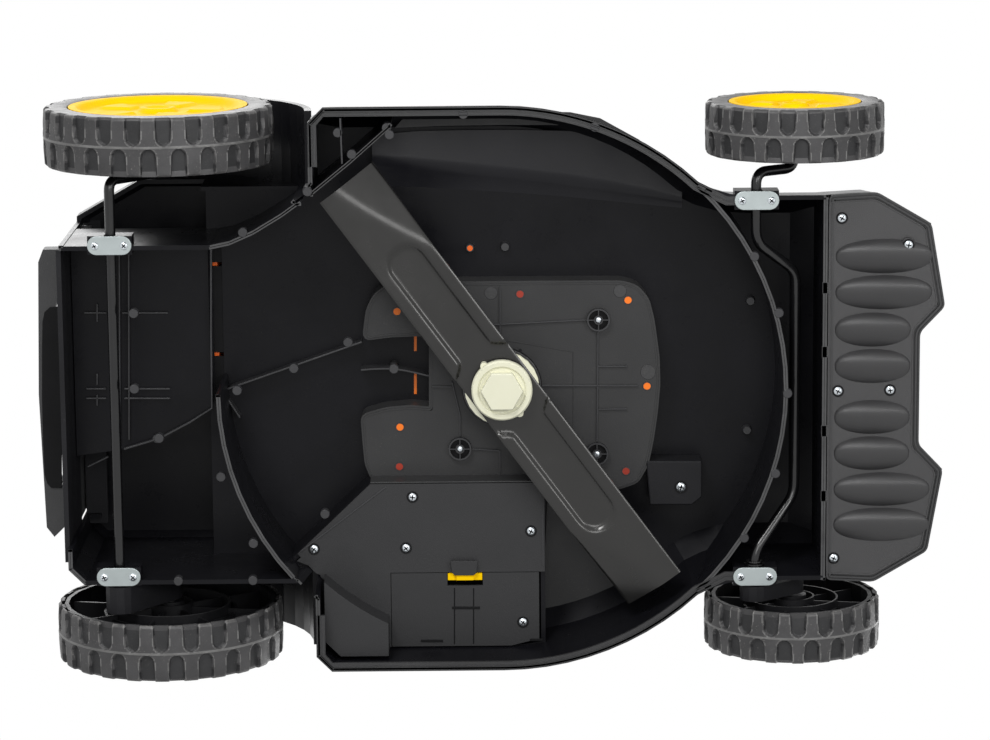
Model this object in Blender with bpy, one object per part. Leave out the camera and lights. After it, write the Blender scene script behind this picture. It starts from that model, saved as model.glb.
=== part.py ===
"""Electric rotary lawn mower with its push handle folded over the deck.

Metres, +Z up, +X forward, +Y to the mower's left. The wheels stand on z = 0.
Every place along X is measured from the blade's axis; the frame empty then moves
the whole mower so that the origin lies under the middle of its box.
"""
import math

import bmesh
import bpy
from mathutils import Matrix, Vector

# Clearances and steps
GAP = 0.0003                # seating gap between pieces
OVERLAP = 0.002             # how far shapes of one piece reach into each other
BEYOND = 0.010              # how far a cutter stands out of what it cuts
CHAMBER_STEPS = 48          # sides of the blade chamber
WHEEL_STEPS = 28            # sides of a wheel, which stands on one of them
ROUND_STEPS = 24            # sides of a large round piece
SMALL_STEPS = 12            # sides of a small round piece

# Blade
BLADE_L = 0.400
BLADE_W = 0.050
BLADE_T = 0.0035
BLADE_Z = 0.050             # lower face of the blade
BLADE_ANGLE = math.radians(53.75)
WING_L = 0.078              # length of the raised wing at each end
WING_RISE = 0.015

# Deck, seen from above
WALL = 0.0035               # thickness of the deck's walls
TIP_ROOM = 0.017            # from the blade's end to the chamber's wall
CHAMBER_R = BLADE_L / 2 + TIP_ROOM
SKIRT_R = CHAMBER_R + WALL + 0.001
REAR_HALF_W = 0.150         # half width between the rear wheels
REAR_L = 0.110              # length of the raised rear part
REAR_FRONT_X = -(CHAMBER_R + WALL + 0.0075)
REAR_X = REAR_FRONT_X - REAR_L
REAR_CORNER = 0.012         # chamfer of the rear part's upright corners
REAR_TOP_CHAMFER = 0.005    # and of its top edge
SKEW_L = 0.051              # long chamfer of its right rear corner
SKEW_W = 0.029
FLANK_Z = 0.165             # lower edge of its right side, beside the tunnel
FRONT_HALF_W = 0.151        # half width between the front wheels
FLARE = 0.011               # size of the bend from the round skirt into the front sides
TUNNEL_Y = -(REAR_HALF_W - 0.037)   # inner face of the discharge tunnel's right wall
SLOT_W = 0.0075             # slot in front of the chute roof
SLOT_L = 0.125

# Deck, seen from the side
RIM_Z = 0.038               # lower edge of the deck
ROOF_Z = 0.128              # top of the deck over the blade
ROOF_CHAMFER = 0.014        # chamfer between the deck's side and its top
SKIRT_LEAN = 0.0085         # how far the sides lean in from the rim up to that chamfer
CHUTE_Z = 0.110             # underside of the chute roof
NOSE_DROP = 0.30            # fall of the nose's top for each metre forward

# Rods of both axles, and their clamps
ROD_R = 0.004
ROD_Z = 0.046               # height of both rods' axes
CLAMP_L = 0.034
CLAMP_W = 0.0145
CLAMP_T = 0.002
CLAMP_SCREW_X = 0.0118      # from a clamp's middle to each of its screws
SCREW_R = 0.0034
SADDLE_H = 0.018            # height of the deck block that each clamp is screwed to
ARM_R = 0.0115              # crank arm's radius at the rod
ARM_END_R = 0.0095          # and at the wheel

# Rear axle: a straight rod with a crank at each end
REAR_ROD_X = REAR_X + 0.039
REAR_REACH = 0.035          # from the rod forward to the wheels' axis
REAR_WHEEL_X = REAR_ROD_X + REAR_REACH
REAR_TYRE_R = 0.089
REAR_TYRE_W = 0.0445
REAR_WHEEL_GAP = 0.024      # from the deck's side to the tyres
REAR_INNER_Y = REAR_HALF_W + REAR_WHEEL_GAP
REAR_CAP_R = 0.0655
REAR_CLAMP_RIGHT_Y = TUNNEL_Y - 0.004
REAR_CLAMP_LEFT_Y = REAR_HALF_W - 0.0065
ARCH_ROOM = 0.017           # from the rear tyre to its arch
ARCH_SWING = 0.0045         # more room in front of it for the swing of the crank
ARCH_OUTER_Y = REAR_INNER_Y + 0.039
ARCH_X = REAR_WHEEL_X + 0.2 * REAR_REACH        # middle of the arches, in front of the wheels' axis
ARCH_WALL_X = ARCH_X + REAR_TYRE_R + ARCH_ROOM + ARCH_SWING
ARCH_R = ARCH_WALL_X - ARCH_X + 0.001           # outer radius of the arches
ARCH_END_RIGHT = 105.0      # angle at which the right arch ends, from the front over the top
ARCH_END_LEFT = 118.0
ARCH_PROUD = 0.0105         # how far the arches stand above the rear part
REAR_TOP_Z = REAR_TYRE_R + ARCH_R - ARCH_PROUD

# Front axle: the same, with its middle bent forward round the chamber
FRONT_BEND_X = CHAMBER_R + WALL + ROD_R + 0.0035
FRONT_BEND = 0.0325         # from the rod's straight ends forward to its bent middle
FRONT_BEND_RISE = 0.020     # and up
FRONT_BEND_Y = 0.088        # half length of the bent middle
FRONT_ROD_X = FRONT_BEND_X - FRONT_BEND
FRONT_REACH = 0.031         # from the rod forward to the wheels' axis
FRONT_WHEEL_X = FRONT_ROD_X + FRONT_REACH
FRONT_TYRE_R = 0.069
FRONT_TYRE_W = 0.040
FRONT_GAP_RIGHT = 0.029     # from the deck's side to the right tyre
FRONT_GAP_LEFT = 0.0175     # and to the left tyre
FRONT_INNER_RIGHT_Y = -(FRONT_HALF_W + FRONT_GAP_RIGHT)
FRONT_INNER_LEFT_Y = FRONT_HALF_W + FRONT_GAP_LEFT
FRONT_CAP_R = 0.047
FRONT_CLAMP_Y = FRONT_HALF_W - 0.0035

# Nose and its ridged plate
NOSE_WALL_X = FRONT_BEND_X + ROD_R + 0.0145
NOSE_PLATE_X = NOSE_WALL_X + WALL + 2 * GAP
NOSE_L = 0.090
NOSE_X = NOSE_PLATE_X + NOSE_L      # foremost edge of the nose
NOSE_NOTCH = 0.019          # depth of the notch between the nose's lobes
NOSE_NOTCH_Y = 0.044
NOSE_LOBE_Y = 0.064
NOSE_SIDE_L = 0.037         # straight length of the nose's side
NOSE_CORNER = 0.0225        # how far the nose's corners draw in
RIDGES = 8
RIDGE_PITCH = 0.028
RIDGE_W = 0.025
RIDGE_H = 0.0055
RIDGE_MARGIN = 0.007        # from the ridges to the plate's edges

# Wheels
TYRE_T = 0.006              # thickness of the tread drum
TYRE_CHAMFER = 0.004
CAP_DEPTH = 0.006           # how far the hub cap sits inside the tyre's lip
HUB_R = 0.0115
WEB_DEPTH = 0.019           # from the wheel's outer side to its web
WHEEL_RIBS = 8
RIB_T = 0.002
AXLE_CLEAR = 0.0003

# Motor plate and electronics bay
COVER_T = 0.003
PLATE_Z = 0.100             # lower face of the motor plate
PLATE_T = 0.004
PLATE_REAR_X, PLATE_FRONT_X = -0.109, 0.121
PLATE_RIGHT_Y, PLATE_LEFT_Y = -0.073, 0.079
PLATE_CORNER = 0.024
MOTOR_SCREWS = ((0.076, -0.046), (-0.033, 0.058), (0.075, 0.062))
BOSS_R = 0.009
SCREW_HOLE_R = 0.0045
HUB_HOLE_R = 0.0125         # hole round the shaft in the motor plate
VENT_L, VENT_W = 0.051, 0.062
BAY_Z = 0.077               # lower face of the bay cover
BAY_Y = PLATE_LEFT_Y + 0.001
BAY_REAR_X, BAY_FRONT_X = -0.104, 0.033
BAY_EDGE = 0.0015           # from the skirt's inner face to the bay's outline
LEDGE_DROP = 0.027          # how far the cover's step hangs below it
LEDGE_ROOM = 0.010          # from the chamber's wall to that step
HATCH_X = -0.0885
HATCH_L = 0.1165
HATCH_Y = 0.1525
HATCH_W = SKIRT_R - WALL - BAY_EDGE - WALL - 0.001 - HATCH_Y
HATCH_PLAY = 0.0005
LATCH_L = 0.027
LATCH_W = 0.0053
LATCH_TRAVEL = 0.004

# Spindle
NUT_R = 0.0198
NUT_HEX_R = 0.0165
NUT_Z = 0.0385              # lower face of the nut
SHAFT_R = 0.0075
STUD_R = 0.005              # the shaft's thinner end, which carries blade and nut
PEG_R = 0.003
PEG_OFFSET = 0.023
ADAPTER_R = 0.029
ADAPTER_T = 0.006
FAN_R = 0.031
FAN_H = 0.034
FAN_VANES = 6

# Motor
MOTOR_R = 0.056
MOTOR_H = 0.0557
MOTOR_WALL = 0.003
MOTOR_FLANGE = 0.008
MOTOR_Z = ROOF_Z + GAP
MOTOR_TOP_Z = MOTOR_Z + MOTOR_H
SHAFT_HOLE_R = 0.020        # hole in the roof round the shaft
BEARING_R = 0.016
BEARING_H = 0.009
LOWER_BEARING_H = 0.005
ROTOR_R = 0.030
ROTOR_H = 0.032
BOARD_L, BOARD_W, BOARD_T = 0.120, 0.040, 0.0016

# Rear flap
FLAP_PIN_R = 0.003
FLAP_T = 0.003
FLAP_BARREL = 0.0025        # wall of the barrel round the pin
FLAP_X = REAR_X - 0.0005    # front face of the flap
FLAP_AXIS_X = REAR_X + 0.0045
FLAP_AXIS_Z = REAR_TOP_Z - 0.012
FLAP_LOW = 0.014            # from the rim up to the flap's lower edge
FLAP_RIGHT_Y = TUNNEL_Y + 0.001
FLAP_LEFT_Y = REAR_HALF_W - 0.030
FLAP_END_PLAY = 0.0015
BOW_REACH = 0.0255          # how far the bow stands out behind the flap
BOW_SWELL = 0.003
BOW_Z = 0.150
BOW_H = 0.016
BOW_MID_Y = 0.019
BOW_HALF_W = 0.117
BOW_HOLE_HALF_W = 0.074
BOW_BAR = 0.007             # thickness of the bow's bar
BOW_TIP_X = FLAP_X - FLAP_T - BOW_REACH - BOW_SWELL

# Top cover and vent cap
COVER_H = 0.068
COVER_TOP_Z = ROOF_Z + COVER_H
COVER_FRONT_X = 0.148
COVER_HALF_W = 0.140
VENT_HALF = 0.060
VENT_LIP = 0.004
VENT_T = 0.005
VENT_SLOTS = 7
VENT_MARGIN = 0.006

# Folded push handle
TUBE_R = 0.0115
TUBE_WALL = 0.0015
TUBE_BEND = 0.030
PIVOT_X = REAR_X + 0.076
PIVOT_Z = REAR_TOP_Z + 0.028
LEG_REAR_Y = REAR_HALF_W + 0.010
LEG_FRONT_Y = 0.100
LEG_BEND_REAR_X, LEG_BEND_FRONT_X = -0.100, 0.120
LEG_END = 0.010             # how far a leg runs past its bolt
LEG_L = 0.550               # from the pivot to the elbow
ELBOW_X = PIVOT_X + LEG_L
LEG_SPACE = 0.0025          # between a lower and an upper leg
BAR_X = PIVOT_X + 0.045     # the cross bar of the upper handle when folded
BRACKET_T = 0.003
BRACKET_L = 0.040
BRACKET_W = 0.028
EAR_R = 0.013
EAR_SPACE = 0.0025          # between a bracket's ear and its leg
BOLT_R = 0.004
BOLT_HEAD_R = 0.009
BOLT_HEAD_H = 0.004
BOLT_PLAY = 0.001
BOLT_NUT_R = 0.0075
KNOB_R = 0.014
KNOB_H = 0.011
KNOB_LOBES = 5
GRIP_R = 0.0155
GRIP_L = 0.054
GRIP_Y = 0.046              # inner end of each grip

# Controls on the cross bar
BOX_L = 0.062
BOX_H = 0.0315
BOX_HALF_W = 0.043
BOX_X = BAR_X - 0.033       # rear face of the switch box
BOX_Z = PIVOT_Z - 0.0155    # its lower face
BOX_CHAMFER = 0.006
INLET_W, INLET_H, INLET_D = 0.028, 0.017, 0.014
INLET_Z = BOX_Z + 0.0065
INLET_PINS = 3
INLET_PIN_PITCH = 0.007
INLET_PIN_W = 0.0016
INLET_PIN_H = 0.005
BAIL_R = 0.003
BAIL_X = BAR_X + 0.024
BAIL_Z = PIVOT_Z + 0.006
BAIL_ARM = 0.034
BAIL_REST = math.radians(98.0)
BAIL_HALF_W = 0.104
BAIL_SEAT = 0.006           # depth of the bail's ends in the switch box
BUTTON_R = 0.007
BUTTON_X = BAR_X - 0.021
BUTTON_TRAVEL = 0.004
BUTTON_SEAT = 0.004
BUTTON_PROUD = 0.005

BLADE_AXIS_X = -(BOW_TIP_X + NOSE_X) / 2    # puts the origin under the middle of the mower


def clear_scene():
    for obj in list(bpy.data.objects):
        bpy.data.objects.remove(obj, do_unlink=True)


# Finishes: colour, roughness, metallic
DECK_BLACK = ((0.020, 0.021, 0.026), 0.45, 0.0)
CHARCOAL = ((0.035, 0.035, 0.038), 0.60, 0.0)
ORANGE = ((0.83, 0.16, 0.01), 0.35, 0.0)
YELLOW = ((0.95, 0.56, 0.005), 0.30, 0.0)
IVORY = ((0.74, 0.74, 0.60), 0.45, 0.0)
TREAD_GREY = ((0.050, 0.050, 0.052), 0.75, 0.0)
BLACK_STEEL = ((0.012, 0.012, 0.013), 0.30, 0.6)
BLADE_STEEL = ((0.045, 0.045, 0.050), 0.35, 0.8)
CORE_STEEL = ((0.100, 0.090, 0.085), 0.50, 0.9)
ZINC = ((0.52, 0.58, 0.58), 0.35, 0.9)
BARE_STEEL = ((0.50, 0.50, 0.52), 0.30, 1.0)
FOAM = ((0.020, 0.020, 0.021), 0.90, 0.0)
BOARD_GREEN = ((0.02, 0.16, 0.07), 0.50, 0.0)


def material(name, finish):
    colour, roughness, metallic = finish
    mat = bpy.data.materials.new("%s_finish" % name)
    mat.use_nodes = True
    shader = mat.node_tree.nodes["Principled BSDF"]
    shader.inputs["Base Color"].default_value = (*colour, 1.0)
    shader.inputs["Roughness"].default_value = roughness
    shader.inputs["Metallic"].default_value = metallic
    return mat


# Shapes
def close_up(bm):
    bmesh.ops.remove_doubles(bm, verts=bm.verts, dist=1e-6)
    bmesh.ops.dissolve_degenerate(bm, dist=1e-6, edges=bm.edges)
    bmesh.ops.recalc_face_normals(bm, faces=bm.faces)
    return bm


def skin(levels, closed):
    """Joins outlines of equal length, each a list of (x, y, z), by strips of faces."""
    bm = bmesh.new()
    rings = [[bm.verts.new(p) for p in level] for level in levels]
    count = len(rings[0])
    onward = rings[1:] + rings[:1] if closed else rings[1:]
    for low, high in zip(rings, onward):
        for i in range(count):
            j = (i + 1) % count
            bm.faces.new((low[i], low[j], high[j], high[i]))
    return bm, rings


def loft(levels):
    """Solid through the outlines, with the first and the last as its ends."""
    bm, rings = skin(levels, False)
    bm.faces.new(list(reversed(rings[0])))
    bm.faces.new(rings[-1])
    return close_up(bm)


def prism(points, z0, z1):
    return loft([[(x, y, z0) for x, y in points], [(x, y, z1) for x, y in points]])


def prism_y(points, y0, y1):
    """Solid with an outline of (x, z) points, extruded along Y."""
    low, high = sorted((y0, y1))
    return loft([[(x, low, z) for x, z in points], [(x, high, z) for x, z in points]])


def box(x0, x1, y0, y1, z0, z1):
    low, high = sorted((y0, y1))
    return prism([(x0, low), (x1, low), (x1, high), (x0, high)], z0, z1)


def turned(profile, steps=ROUND_STEPS, at=(0.0, 0.0, 0.0), axis="Z", flats=False):
    """Turns an open or ring profile of (radius, height) points about an axis.

    With flats, the radius is to the middle of each side, and one side faces down.
    """
    bm = bmesh.new()
    rings = []
    phase, reach = (0.5, 1.0 / math.cos(math.pi / steps)) if flats else (0.0, 1.0)
    for radius, height in profile:
        if radius < 1e-9:
            rings.append([bm.verts.new((0.0, 0.0, height))])
            continue
        angles = [2.0 * math.pi * (i + phase) / steps for i in range(steps)]
        r = reach * radius
        rings.append([bm.verts.new((r * math.cos(a), r * math.sin(a), height)) for a in angles])
    pairs = list(zip(rings, rings[1:]))
    if len(rings[0]) > 1 and len(rings[-1]) > 1:
        pairs.append((rings[-1], rings[0]))
    for a, b in pairs:
        for i in range(steps):
            j = (i + 1) % steps
            quad = [a[i % len(a)], a[j % len(a)], b[j % len(b)], b[i % len(b)]]
            corners = [v for k, v in enumerate(quad) if v not in quad[:k]]
            if len(corners) > 2:
                bm.faces.new(corners)
    if axis == "Y":
        bmesh.ops.rotate(bm, verts=bm.verts, matrix=Matrix.Rotation(-math.pi / 2, 3, "X"))
    bmesh.ops.translate(bm, verts=bm.verts, vec=at)
    return close_up(bm)


def drum(radius, low, high, at=(0.0, 0.0, 0.0), axis="Z", steps=SMALL_STEPS):
    low, high = sorted((low, high))
    return turned([(0.0, low), (radius, low), (radius, high), (0.0, high)], steps, at, axis)


def ring(inner, outer, low, high, at=(0.0, 0.0, 0.0), axis="Z", steps=ROUND_STEPS):
    low, high = sorted((low, high))
    profile = [(inner, low), (outer, low), (outer, high), (inner, high)]
    return turned(profile, steps, at, axis)


def spun(bm, degrees):
    """Turns a shape about the vertical through the origin."""
    bmesh.ops.rotate(bm, verts=bm.verts, matrix=Matrix.Rotation(math.radians(degrees), 3, "Z"))
    return bm


def arc(centre, radius, start, end, steps):
    """Points of an arc in degrees, both ends included."""
    cx, cy = centre
    angles = [math.radians(start + (end - start) * i / steps) for i in range(steps + 1)]
    return [(cx + radius * math.cos(a), cy + radius * math.sin(a)) for a in angles]


def curve(start, bend, end, steps):
    """Points of a curve that leaves the start and meets the end heading for the bend."""
    points = []
    for i in range(steps + 1):
        t = i / steps
        points.append(tuple(Vector(start) * (1 - t) ** 2 + Vector(bend) * 2 * t * (1 - t) + Vector(end) * t ** 2))
    return points


def anticlockwise(points):
    area = sum(a[0] * b[1] - b[0] * a[1] for a, b in zip(points, points[1:] + points[:1]))
    return points if area > 0.0 else list(reversed(points))


def inset(points, distance):
    """Moves a closed anticlockwise outline inwards by a distance."""
    result = []
    count = len(points)
    for i in range(count):
        before = Vector(points[i - 1])
        here = Vector(points[i])
        after = Vector(points[(i + 1) % count])
        d1 = (here - before).normalized()
        d2 = (after - here).normalized()
        n1 = Vector((-d1.y, d1.x))
        n2 = Vector((-d2.y, d2.x))
        mitre = (n1 + n2) / max(0.35, 1.0 + n1.dot(n2))
        result.append(tuple(here + mitre * distance))
    return result


def mirrored(half):
    """Full anticlockwise outline from its left half, given from the rear to the front."""
    right = [(x, -y) for x, y in half]
    return right + [p for p in reversed(half) if abs(p[1]) > 1e-6]


def combine(base, *others, operation="UNION"):
    """Boolean of solids; the first is changed and returned."""
    for other in others:
        parts = []
        for bm in (base, other):
            mesh = bpy.data.meshes.new("shape")
            bm.to_mesh(mesh)
            bm.free()
            parts.append(bpy.data.objects.new("shape", mesh))
            bpy.context.scene.collection.objects.link(parts[-1])
        mod = parts[0].modifiers.new("combine", "BOOLEAN")
        mod.operation = operation
        mod.solver = "EXACT"
        mod.object = parts[1]
        graph = bpy.context.evaluated_depsgraph_get()
        result = bpy.data.meshes.new_from_object(parts[0].evaluated_get(graph))
        base = bmesh.new()
        base.from_mesh(result)
        close_up(base)
        bpy.data.meshes.remove(result)
        for obj in parts:
            mesh = obj.data
            bpy.data.objects.remove(obj, do_unlink=True)
            bpy.data.meshes.remove(mesh)
    return base


def cut(base, *others):
    return combine(base, *others, operation="DIFFERENCE")


def rounded_path(points, radius, steps=3):
    """Path through the points with each inner corner turned on a radius."""
    path = [Vector(points[0])]
    for before, here, after in zip(points, points[1:], points[2:]):
        here = Vector(here)
        back = Vector(before) - here
        on = Vector(after) - here
        reach = min(radius, 0.49 * back.length, 0.49 * on.length)
        start = here + back.normalized() * reach
        end = here + on.normalized() * reach
        path += [Vector(p) for p in curve(start, here, end, steps)]
    path.append(Vector(points[-1]))
    return path


def tube_levels(path, radius, sides):
    """Rings of points round a path."""
    steps = [(b - a).normalized() for a, b in zip(path, path[1:])]
    levels = []
    side = steps[0].orthogonal().normalized()
    for i, point in enumerate(path):
        along = (steps[max(i - 1, 0)] + steps[min(i, len(steps) - 1)]).normalized()
        side = (side - along * side.dot(along)).normalized()
        other = along.cross(side)
        angles = [2.0 * math.pi * k / sides for k in range(sides)]
        levels.append([point + (side * math.cos(a) + other * math.sin(a)) * radius for a in angles])
    return levels


def tube(path, radius, sides=8):
    """Round bar along a path."""
    return loft(tube_levels(path, radius, sides))


def pipe(path, radius, wall, sides=10):
    """Hollow round tube along a path, open at both ends."""
    outer = tube_levels(path, radius, sides)
    inner = tube_levels(path, radius - wall, sides)
    bm, _ = skin(outer + list(reversed(inner)), True)
    return close_up(bm)


def piece(name, bm, finish, frame, origin=(0.0, 0.0, 0.0)):
    """Makes a named object; its origin lies on its joint's axis where it moves."""
    bmesh.ops.translate(bm, verts=bm.verts, vec=-Vector(origin))
    mesh = bpy.data.meshes.new(name)
    close_up(bm).to_mesh(mesh)
    bm.free()
    mesh.materials.append(material(name, finish))
    mesh.shade_smooth()
    mesh.set_sharp_from_angle(angle=math.radians(35.0))
    obj = bpy.data.objects.new(name, mesh)
    obj.location = origin
    obj.parent = frame
    bpy.context.scene.collection.objects.link(obj)
    return obj


# Deck outlines
def nose_top(x):
    """Height of the deck's top, which falls towards the nose."""
    return ROOF_Z - NOSE_DROP * (x - FRONT_BEND_X)


def above_nose(depth):
    """Wedge of the space above the nose's top, from a depth below it."""
    end = NOSE_X + BEYOND
    high = ROOF_Z + BEYOND
    side = [(FRONT_BEND_X, ROOF_Z - depth), (end, nose_top(end) - depth), (end, high), (FRONT_BEND_X, high)]
    return prism_y(side, -SKIRT_R, SKIRT_R)


def nose_half(start_x):
    """Left half of the nose, from its rear corner to the middle."""
    return [(start_x, FRONT_HALF_W), (start_x + NOSE_SIDE_L, FRONT_HALF_W + OVERLAP),
            (NOSE_X - NOSE_CORNER / 2, FRONT_HALF_W - NOSE_CORNER), (NOSE_X, NOSE_LOBE_Y),
            (NOSE_X - NOSE_NOTCH, NOSE_NOTCH_Y)]


def front_outline():
    """Outline of the deck forward of the rear wheels' arches."""
    corner = math.degrees(math.asin((FRONT_HALF_W + FLARE) / SKIRT_R))
    flare_x = SKIRT_R * math.cos(math.radians(corner))
    chamfer = REAR_CORNER
    half = [(ARCH_WALL_X, 0.0), (ARCH_WALL_X, SKIRT_R - chamfer), (ARCH_WALL_X + chamfer, SKIRT_R)]
    half += arc((0.0, 0.0), SKIRT_R, 90.0, corner, 10)
    half += curve((flare_x + FLARE, FRONT_HALF_W + FLARE / 2), (flare_x + 2 * FLARE, FRONT_HALF_W),
                  (flare_x + 4 * FLARE, FRONT_HALF_W), 2)
    return mirrored(half + nose_half(NOSE_WALL_X))


def rear_outline(x1):
    """Outline of the raised rear part, with its right rear corner cut off at a slant."""
    left = [(x1, REAR_HALF_W), (REAR_X + REAR_CORNER, REAR_HALF_W), (REAR_X, REAR_HALF_W - REAR_CORNER)]
    right = [(REAR_X, SKEW_W - REAR_HALF_W), (REAR_X + SKEW_L, -REAR_HALF_W), (x1, -REAR_HALF_W)]
    return left + right


def deck_block(depth):
    """The deck's outer form, or its inside at a depth below the outer face."""
    plan = inset(front_outline(), depth)
    rear_x = min(x for x, _ in plan) + GAP
    low = RIM_Z if depth == 0.0 else 0.0
    top = ROOF_Z - depth
    heights = [(0.0, RIM_Z), (SKIRT_LEAN, top - ROOF_CHAMFER), (SKIRT_LEAN + ROOF_CHAMFER, top)]
    if depth > 0.0:
        heights.insert(0, (0.0, low))
    levels = []
    for lean, z in heights:
        pairs = zip(plan, inset(plan, lean))
        levels.append([(x0 if x0 < rear_x else x, y, z) for (x0, _), (x, y) in pairs])
    main = cut(loft(levels), above_nose(depth))
    raised = inset(rear_outline(REAR_FRONT_X), depth)
    rear_top = REAR_TOP_Z - depth
    rear = loft([[(x, y, low) for x, y in raised], [(x, y, rear_top - REAR_TOP_CHAMFER) for x, y in raised],
                 [(x, y, rear_top) for x, y in inset(raised, REAR_TOP_CHAMFER)]])
    half = REAR_HALF_W - depth
    between = box(REAR_FRONT_X - WALL - OVERLAP, ARCH_WALL_X + WALL + OVERLAP, -half, half, low, top)
    return main, rear, between


def tunnel_wall(shift):
    """Right wall of the discharge tunnel, from the rear to the skirt, moved outwards."""
    meet = math.radians(-112.0)
    end = (SKIRT_R * math.cos(meet), SKIRT_R * math.sin(meet) - shift)
    start = (-(CHAMBER_R + WALL + OVERLAP), TUNNEL_Y - shift)
    bend = (-0.84 * CHAMBER_R, TUNNEL_Y - shift - OVERLAP)
    return [(REAR_X + WALL / 4, TUNNEL_Y - shift)] + curve(start, bend, end, 6)


def wall_strip(inner, outer):
    """Standing wall between two lines of points, from the deck's rim up past its roof."""
    return prism(anticlockwise(inner + list(reversed(outer))), RIM_Z, ROOF_Z)


def chamber_form(play):
    """The blade chamber's round space, which leans in with the skirt, less some play."""
    r = CHAMBER_R - play
    top = ROOF_Z - WALL
    profile = [(0.0, 0.0), (r, 0.0), (r, RIM_Z), (r - SKIRT_LEAN, top - ROOF_CHAMFER),
               (r - SKIRT_LEAN - ROOF_CHAMFER, top), (0.0, top)]
    return turned(profile, CHAMBER_STEPS)


def deck_shell(frame):
    """One moulding: skirt, blade chamber, discharge tunnel, nose and wheel arches."""
    main, rear, between = deck_block(0.0)
    shell = combine(main, rear, between)
    hub = (ARCH_X, REAR_TYRE_R)
    inner_r = REAR_TYRE_R + ARCH_ROOM
    for side, end in ((-1, ARCH_END_RIGHT), (1, ARCH_END_LEFT)):
        outside = arc(hub, ARCH_R, 0.0, end, 14)
        cheek = outside + [(REAR_ROD_X, ROD_Z), (ARCH_WALL_X + OVERLAP, ROD_Z)]
        arch = outside + list(reversed(arc(hub, inner_r, 0.0, end, 14)))
        edge = side * (REAR_HALF_W - WALL + GAP)
        shell = combine(shell, prism_y(cheek, edge, side * (REAR_HALF_W - GAP)),
                        prism_y(arch, edge, side * ARCH_OUTER_Y))
    main, rear, between = deck_block(WALL)
    tunnel_end = box(REAR_X - BEYOND, REAR_X + WALL + REAR_CORNER, TUNNEL_Y, FLAP_LEFT_Y + FLAP_END_PLAY,
                     0.0, REAR_TOP_Z - WALL)
    mouth = box(REAR_FRONT_X - 2 * WALL, REAR_FRONT_X + OVERLAP, -REAR_HALF_W + WALL + GAP,
                REAR_HALF_W - WALL - GAP, 0.0, CHUTE_Z)
    flank_y = TUNNEL_Y - WALL - 2 * GAP
    flank = box(REAR_X - BEYOND, REAR_FRONT_X - 2 * WALL, -REAR_HALF_W - BEYOND, flank_y, 0.0, FLANK_Z)
    front_flank = box(REAR_FRONT_X - 3 * WALL, ARCH_WALL_X - REAR_CORNER, -REAR_HALF_W - BEYOND, flank_y,
                      0.0, ROOF_Z - 2 * WALL)
    shell = cut(shell, main, rear, between, mouth, tunnel_end, chamber_form(0.0), flank, front_flank)
    return piece("deck_shell", deck_holes(inner_walls(shell)), DECK_BLACK, frame)


def bay_outline():
    """Outline of the electronics bay, seen from above, anticlockwise."""
    edge = SKIRT_R - WALL - BAY_EDGE
    left = ARCH_WALL_X + OVERLAP
    out = CHAMBER_R + WALL
    corner_y = REAR_HALF_W - WALL - 0.0045
    return [(BAY_REAR_X, BAY_Y), (BAY_FRONT_X, BAY_Y), (BAY_FRONT_X, edge - LATCH_TRAVEL),
            (BAY_FRONT_X - REAR_L / 5, edge), (left + REAR_CORNER, edge), (left, edge - REAR_CORNER),
            (left, REAR_HALF_W + WALL), (left - 0.020, REAR_HALF_W - WALL - 0.001),
            (-math.sqrt(out ** 2 - corner_y ** 2), corner_y)]


def inner_walls(shell):
    """Walls and blocks inside the hollowed deck."""
    out = CHAMBER_R + WALL
    reach = math.degrees(math.asin((FRONT_HALF_W + FLARE - OVERLAP) / out))
    front_wall = wall_strip(arc((0.0, 0.0), CHAMBER_R, -reach, reach, 20), arc((0.0, 0.0), out, -reach, reach, 20))
    meet = math.degrees(math.asin((REAR_HALF_W - WALL / 2) / out))
    rear_wall = wall_strip(arc((0.0, 0.0), CHAMBER_R, 180.0 - meet, 180.0, 8),
                           arc((0.0, 0.0), out, 180.0 - meet, 180.0, 8))
    tunnel = wall_strip(tunnel_wall(0.0), tunnel_wall(WALL))
    cross = box(NOSE_WALL_X, NOSE_WALL_X + WALL, -FRONT_HALF_W, FRONT_HALF_W, RIM_Z, ROOF_Z)
    plan = bay_outline()
    bay = prism(plan, BAY_Z + COVER_T + GAP, ROOF_Z)
    for wall in (front_wall, rear_wall, tunnel, cross, bay):
        shell = combine(shell, combine(wall, combine(*deck_block(WALL / 2)), operation="INTERSECT"))
    hollow = combine(prism(inset(plan, WALL), 0.0, ROOF_Z), combine(*deck_block(WALL + GAP)), operation="INTERSECT")
    shell = cut(shell, hollow)

    chute_x = REAR_FRONT_X - WALL / 2
    edge_x = REAR_X + WALL / 4
    chute = [(edge_x, TUNNEL_Y - WALL / 2), (chute_x, TUNNEL_Y - WALL / 2), (chute_x, SLOT_L / 5),
             (REAR_X + 0.64 * REAR_L, SLOT_L * 0.4), (REAR_ROD_X, SLOT_L * 0.46), (edge_x, SLOT_L / 2)]
    ear_y = FLAP_LEFT_Y + FLAP_END_PLAY + GAP
    ear = box(REAR_X + WALL / 2, FLAP_AXIS_X + 0.0085, ear_y, ear_y + WALL,
              FLAP_AXIS_Z - 0.018, REAR_TOP_Z - WALL / 2)
    shell = combine(shell, prism(chute, CHUTE_Z, CHUTE_Z + WALL), ear)
    half = CLAMP_W / 2
    for x, y in clamp_places():
        shell = combine(shell, box(x - CLAMP_L / 2, x + CLAMP_L / 2, y - half, y + half,
                                   RIM_Z, RIM_Z + SADDLE_H))
    return shell


def clamp_places():
    return [(REAR_ROD_X, REAR_CLAMP_RIGHT_Y), (REAR_ROD_X, REAR_CLAMP_LEFT_Y),
            (FRONT_ROD_X, -FRONT_CLAMP_Y), (FRONT_ROD_X, FRONT_CLAMP_Y)]


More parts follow.
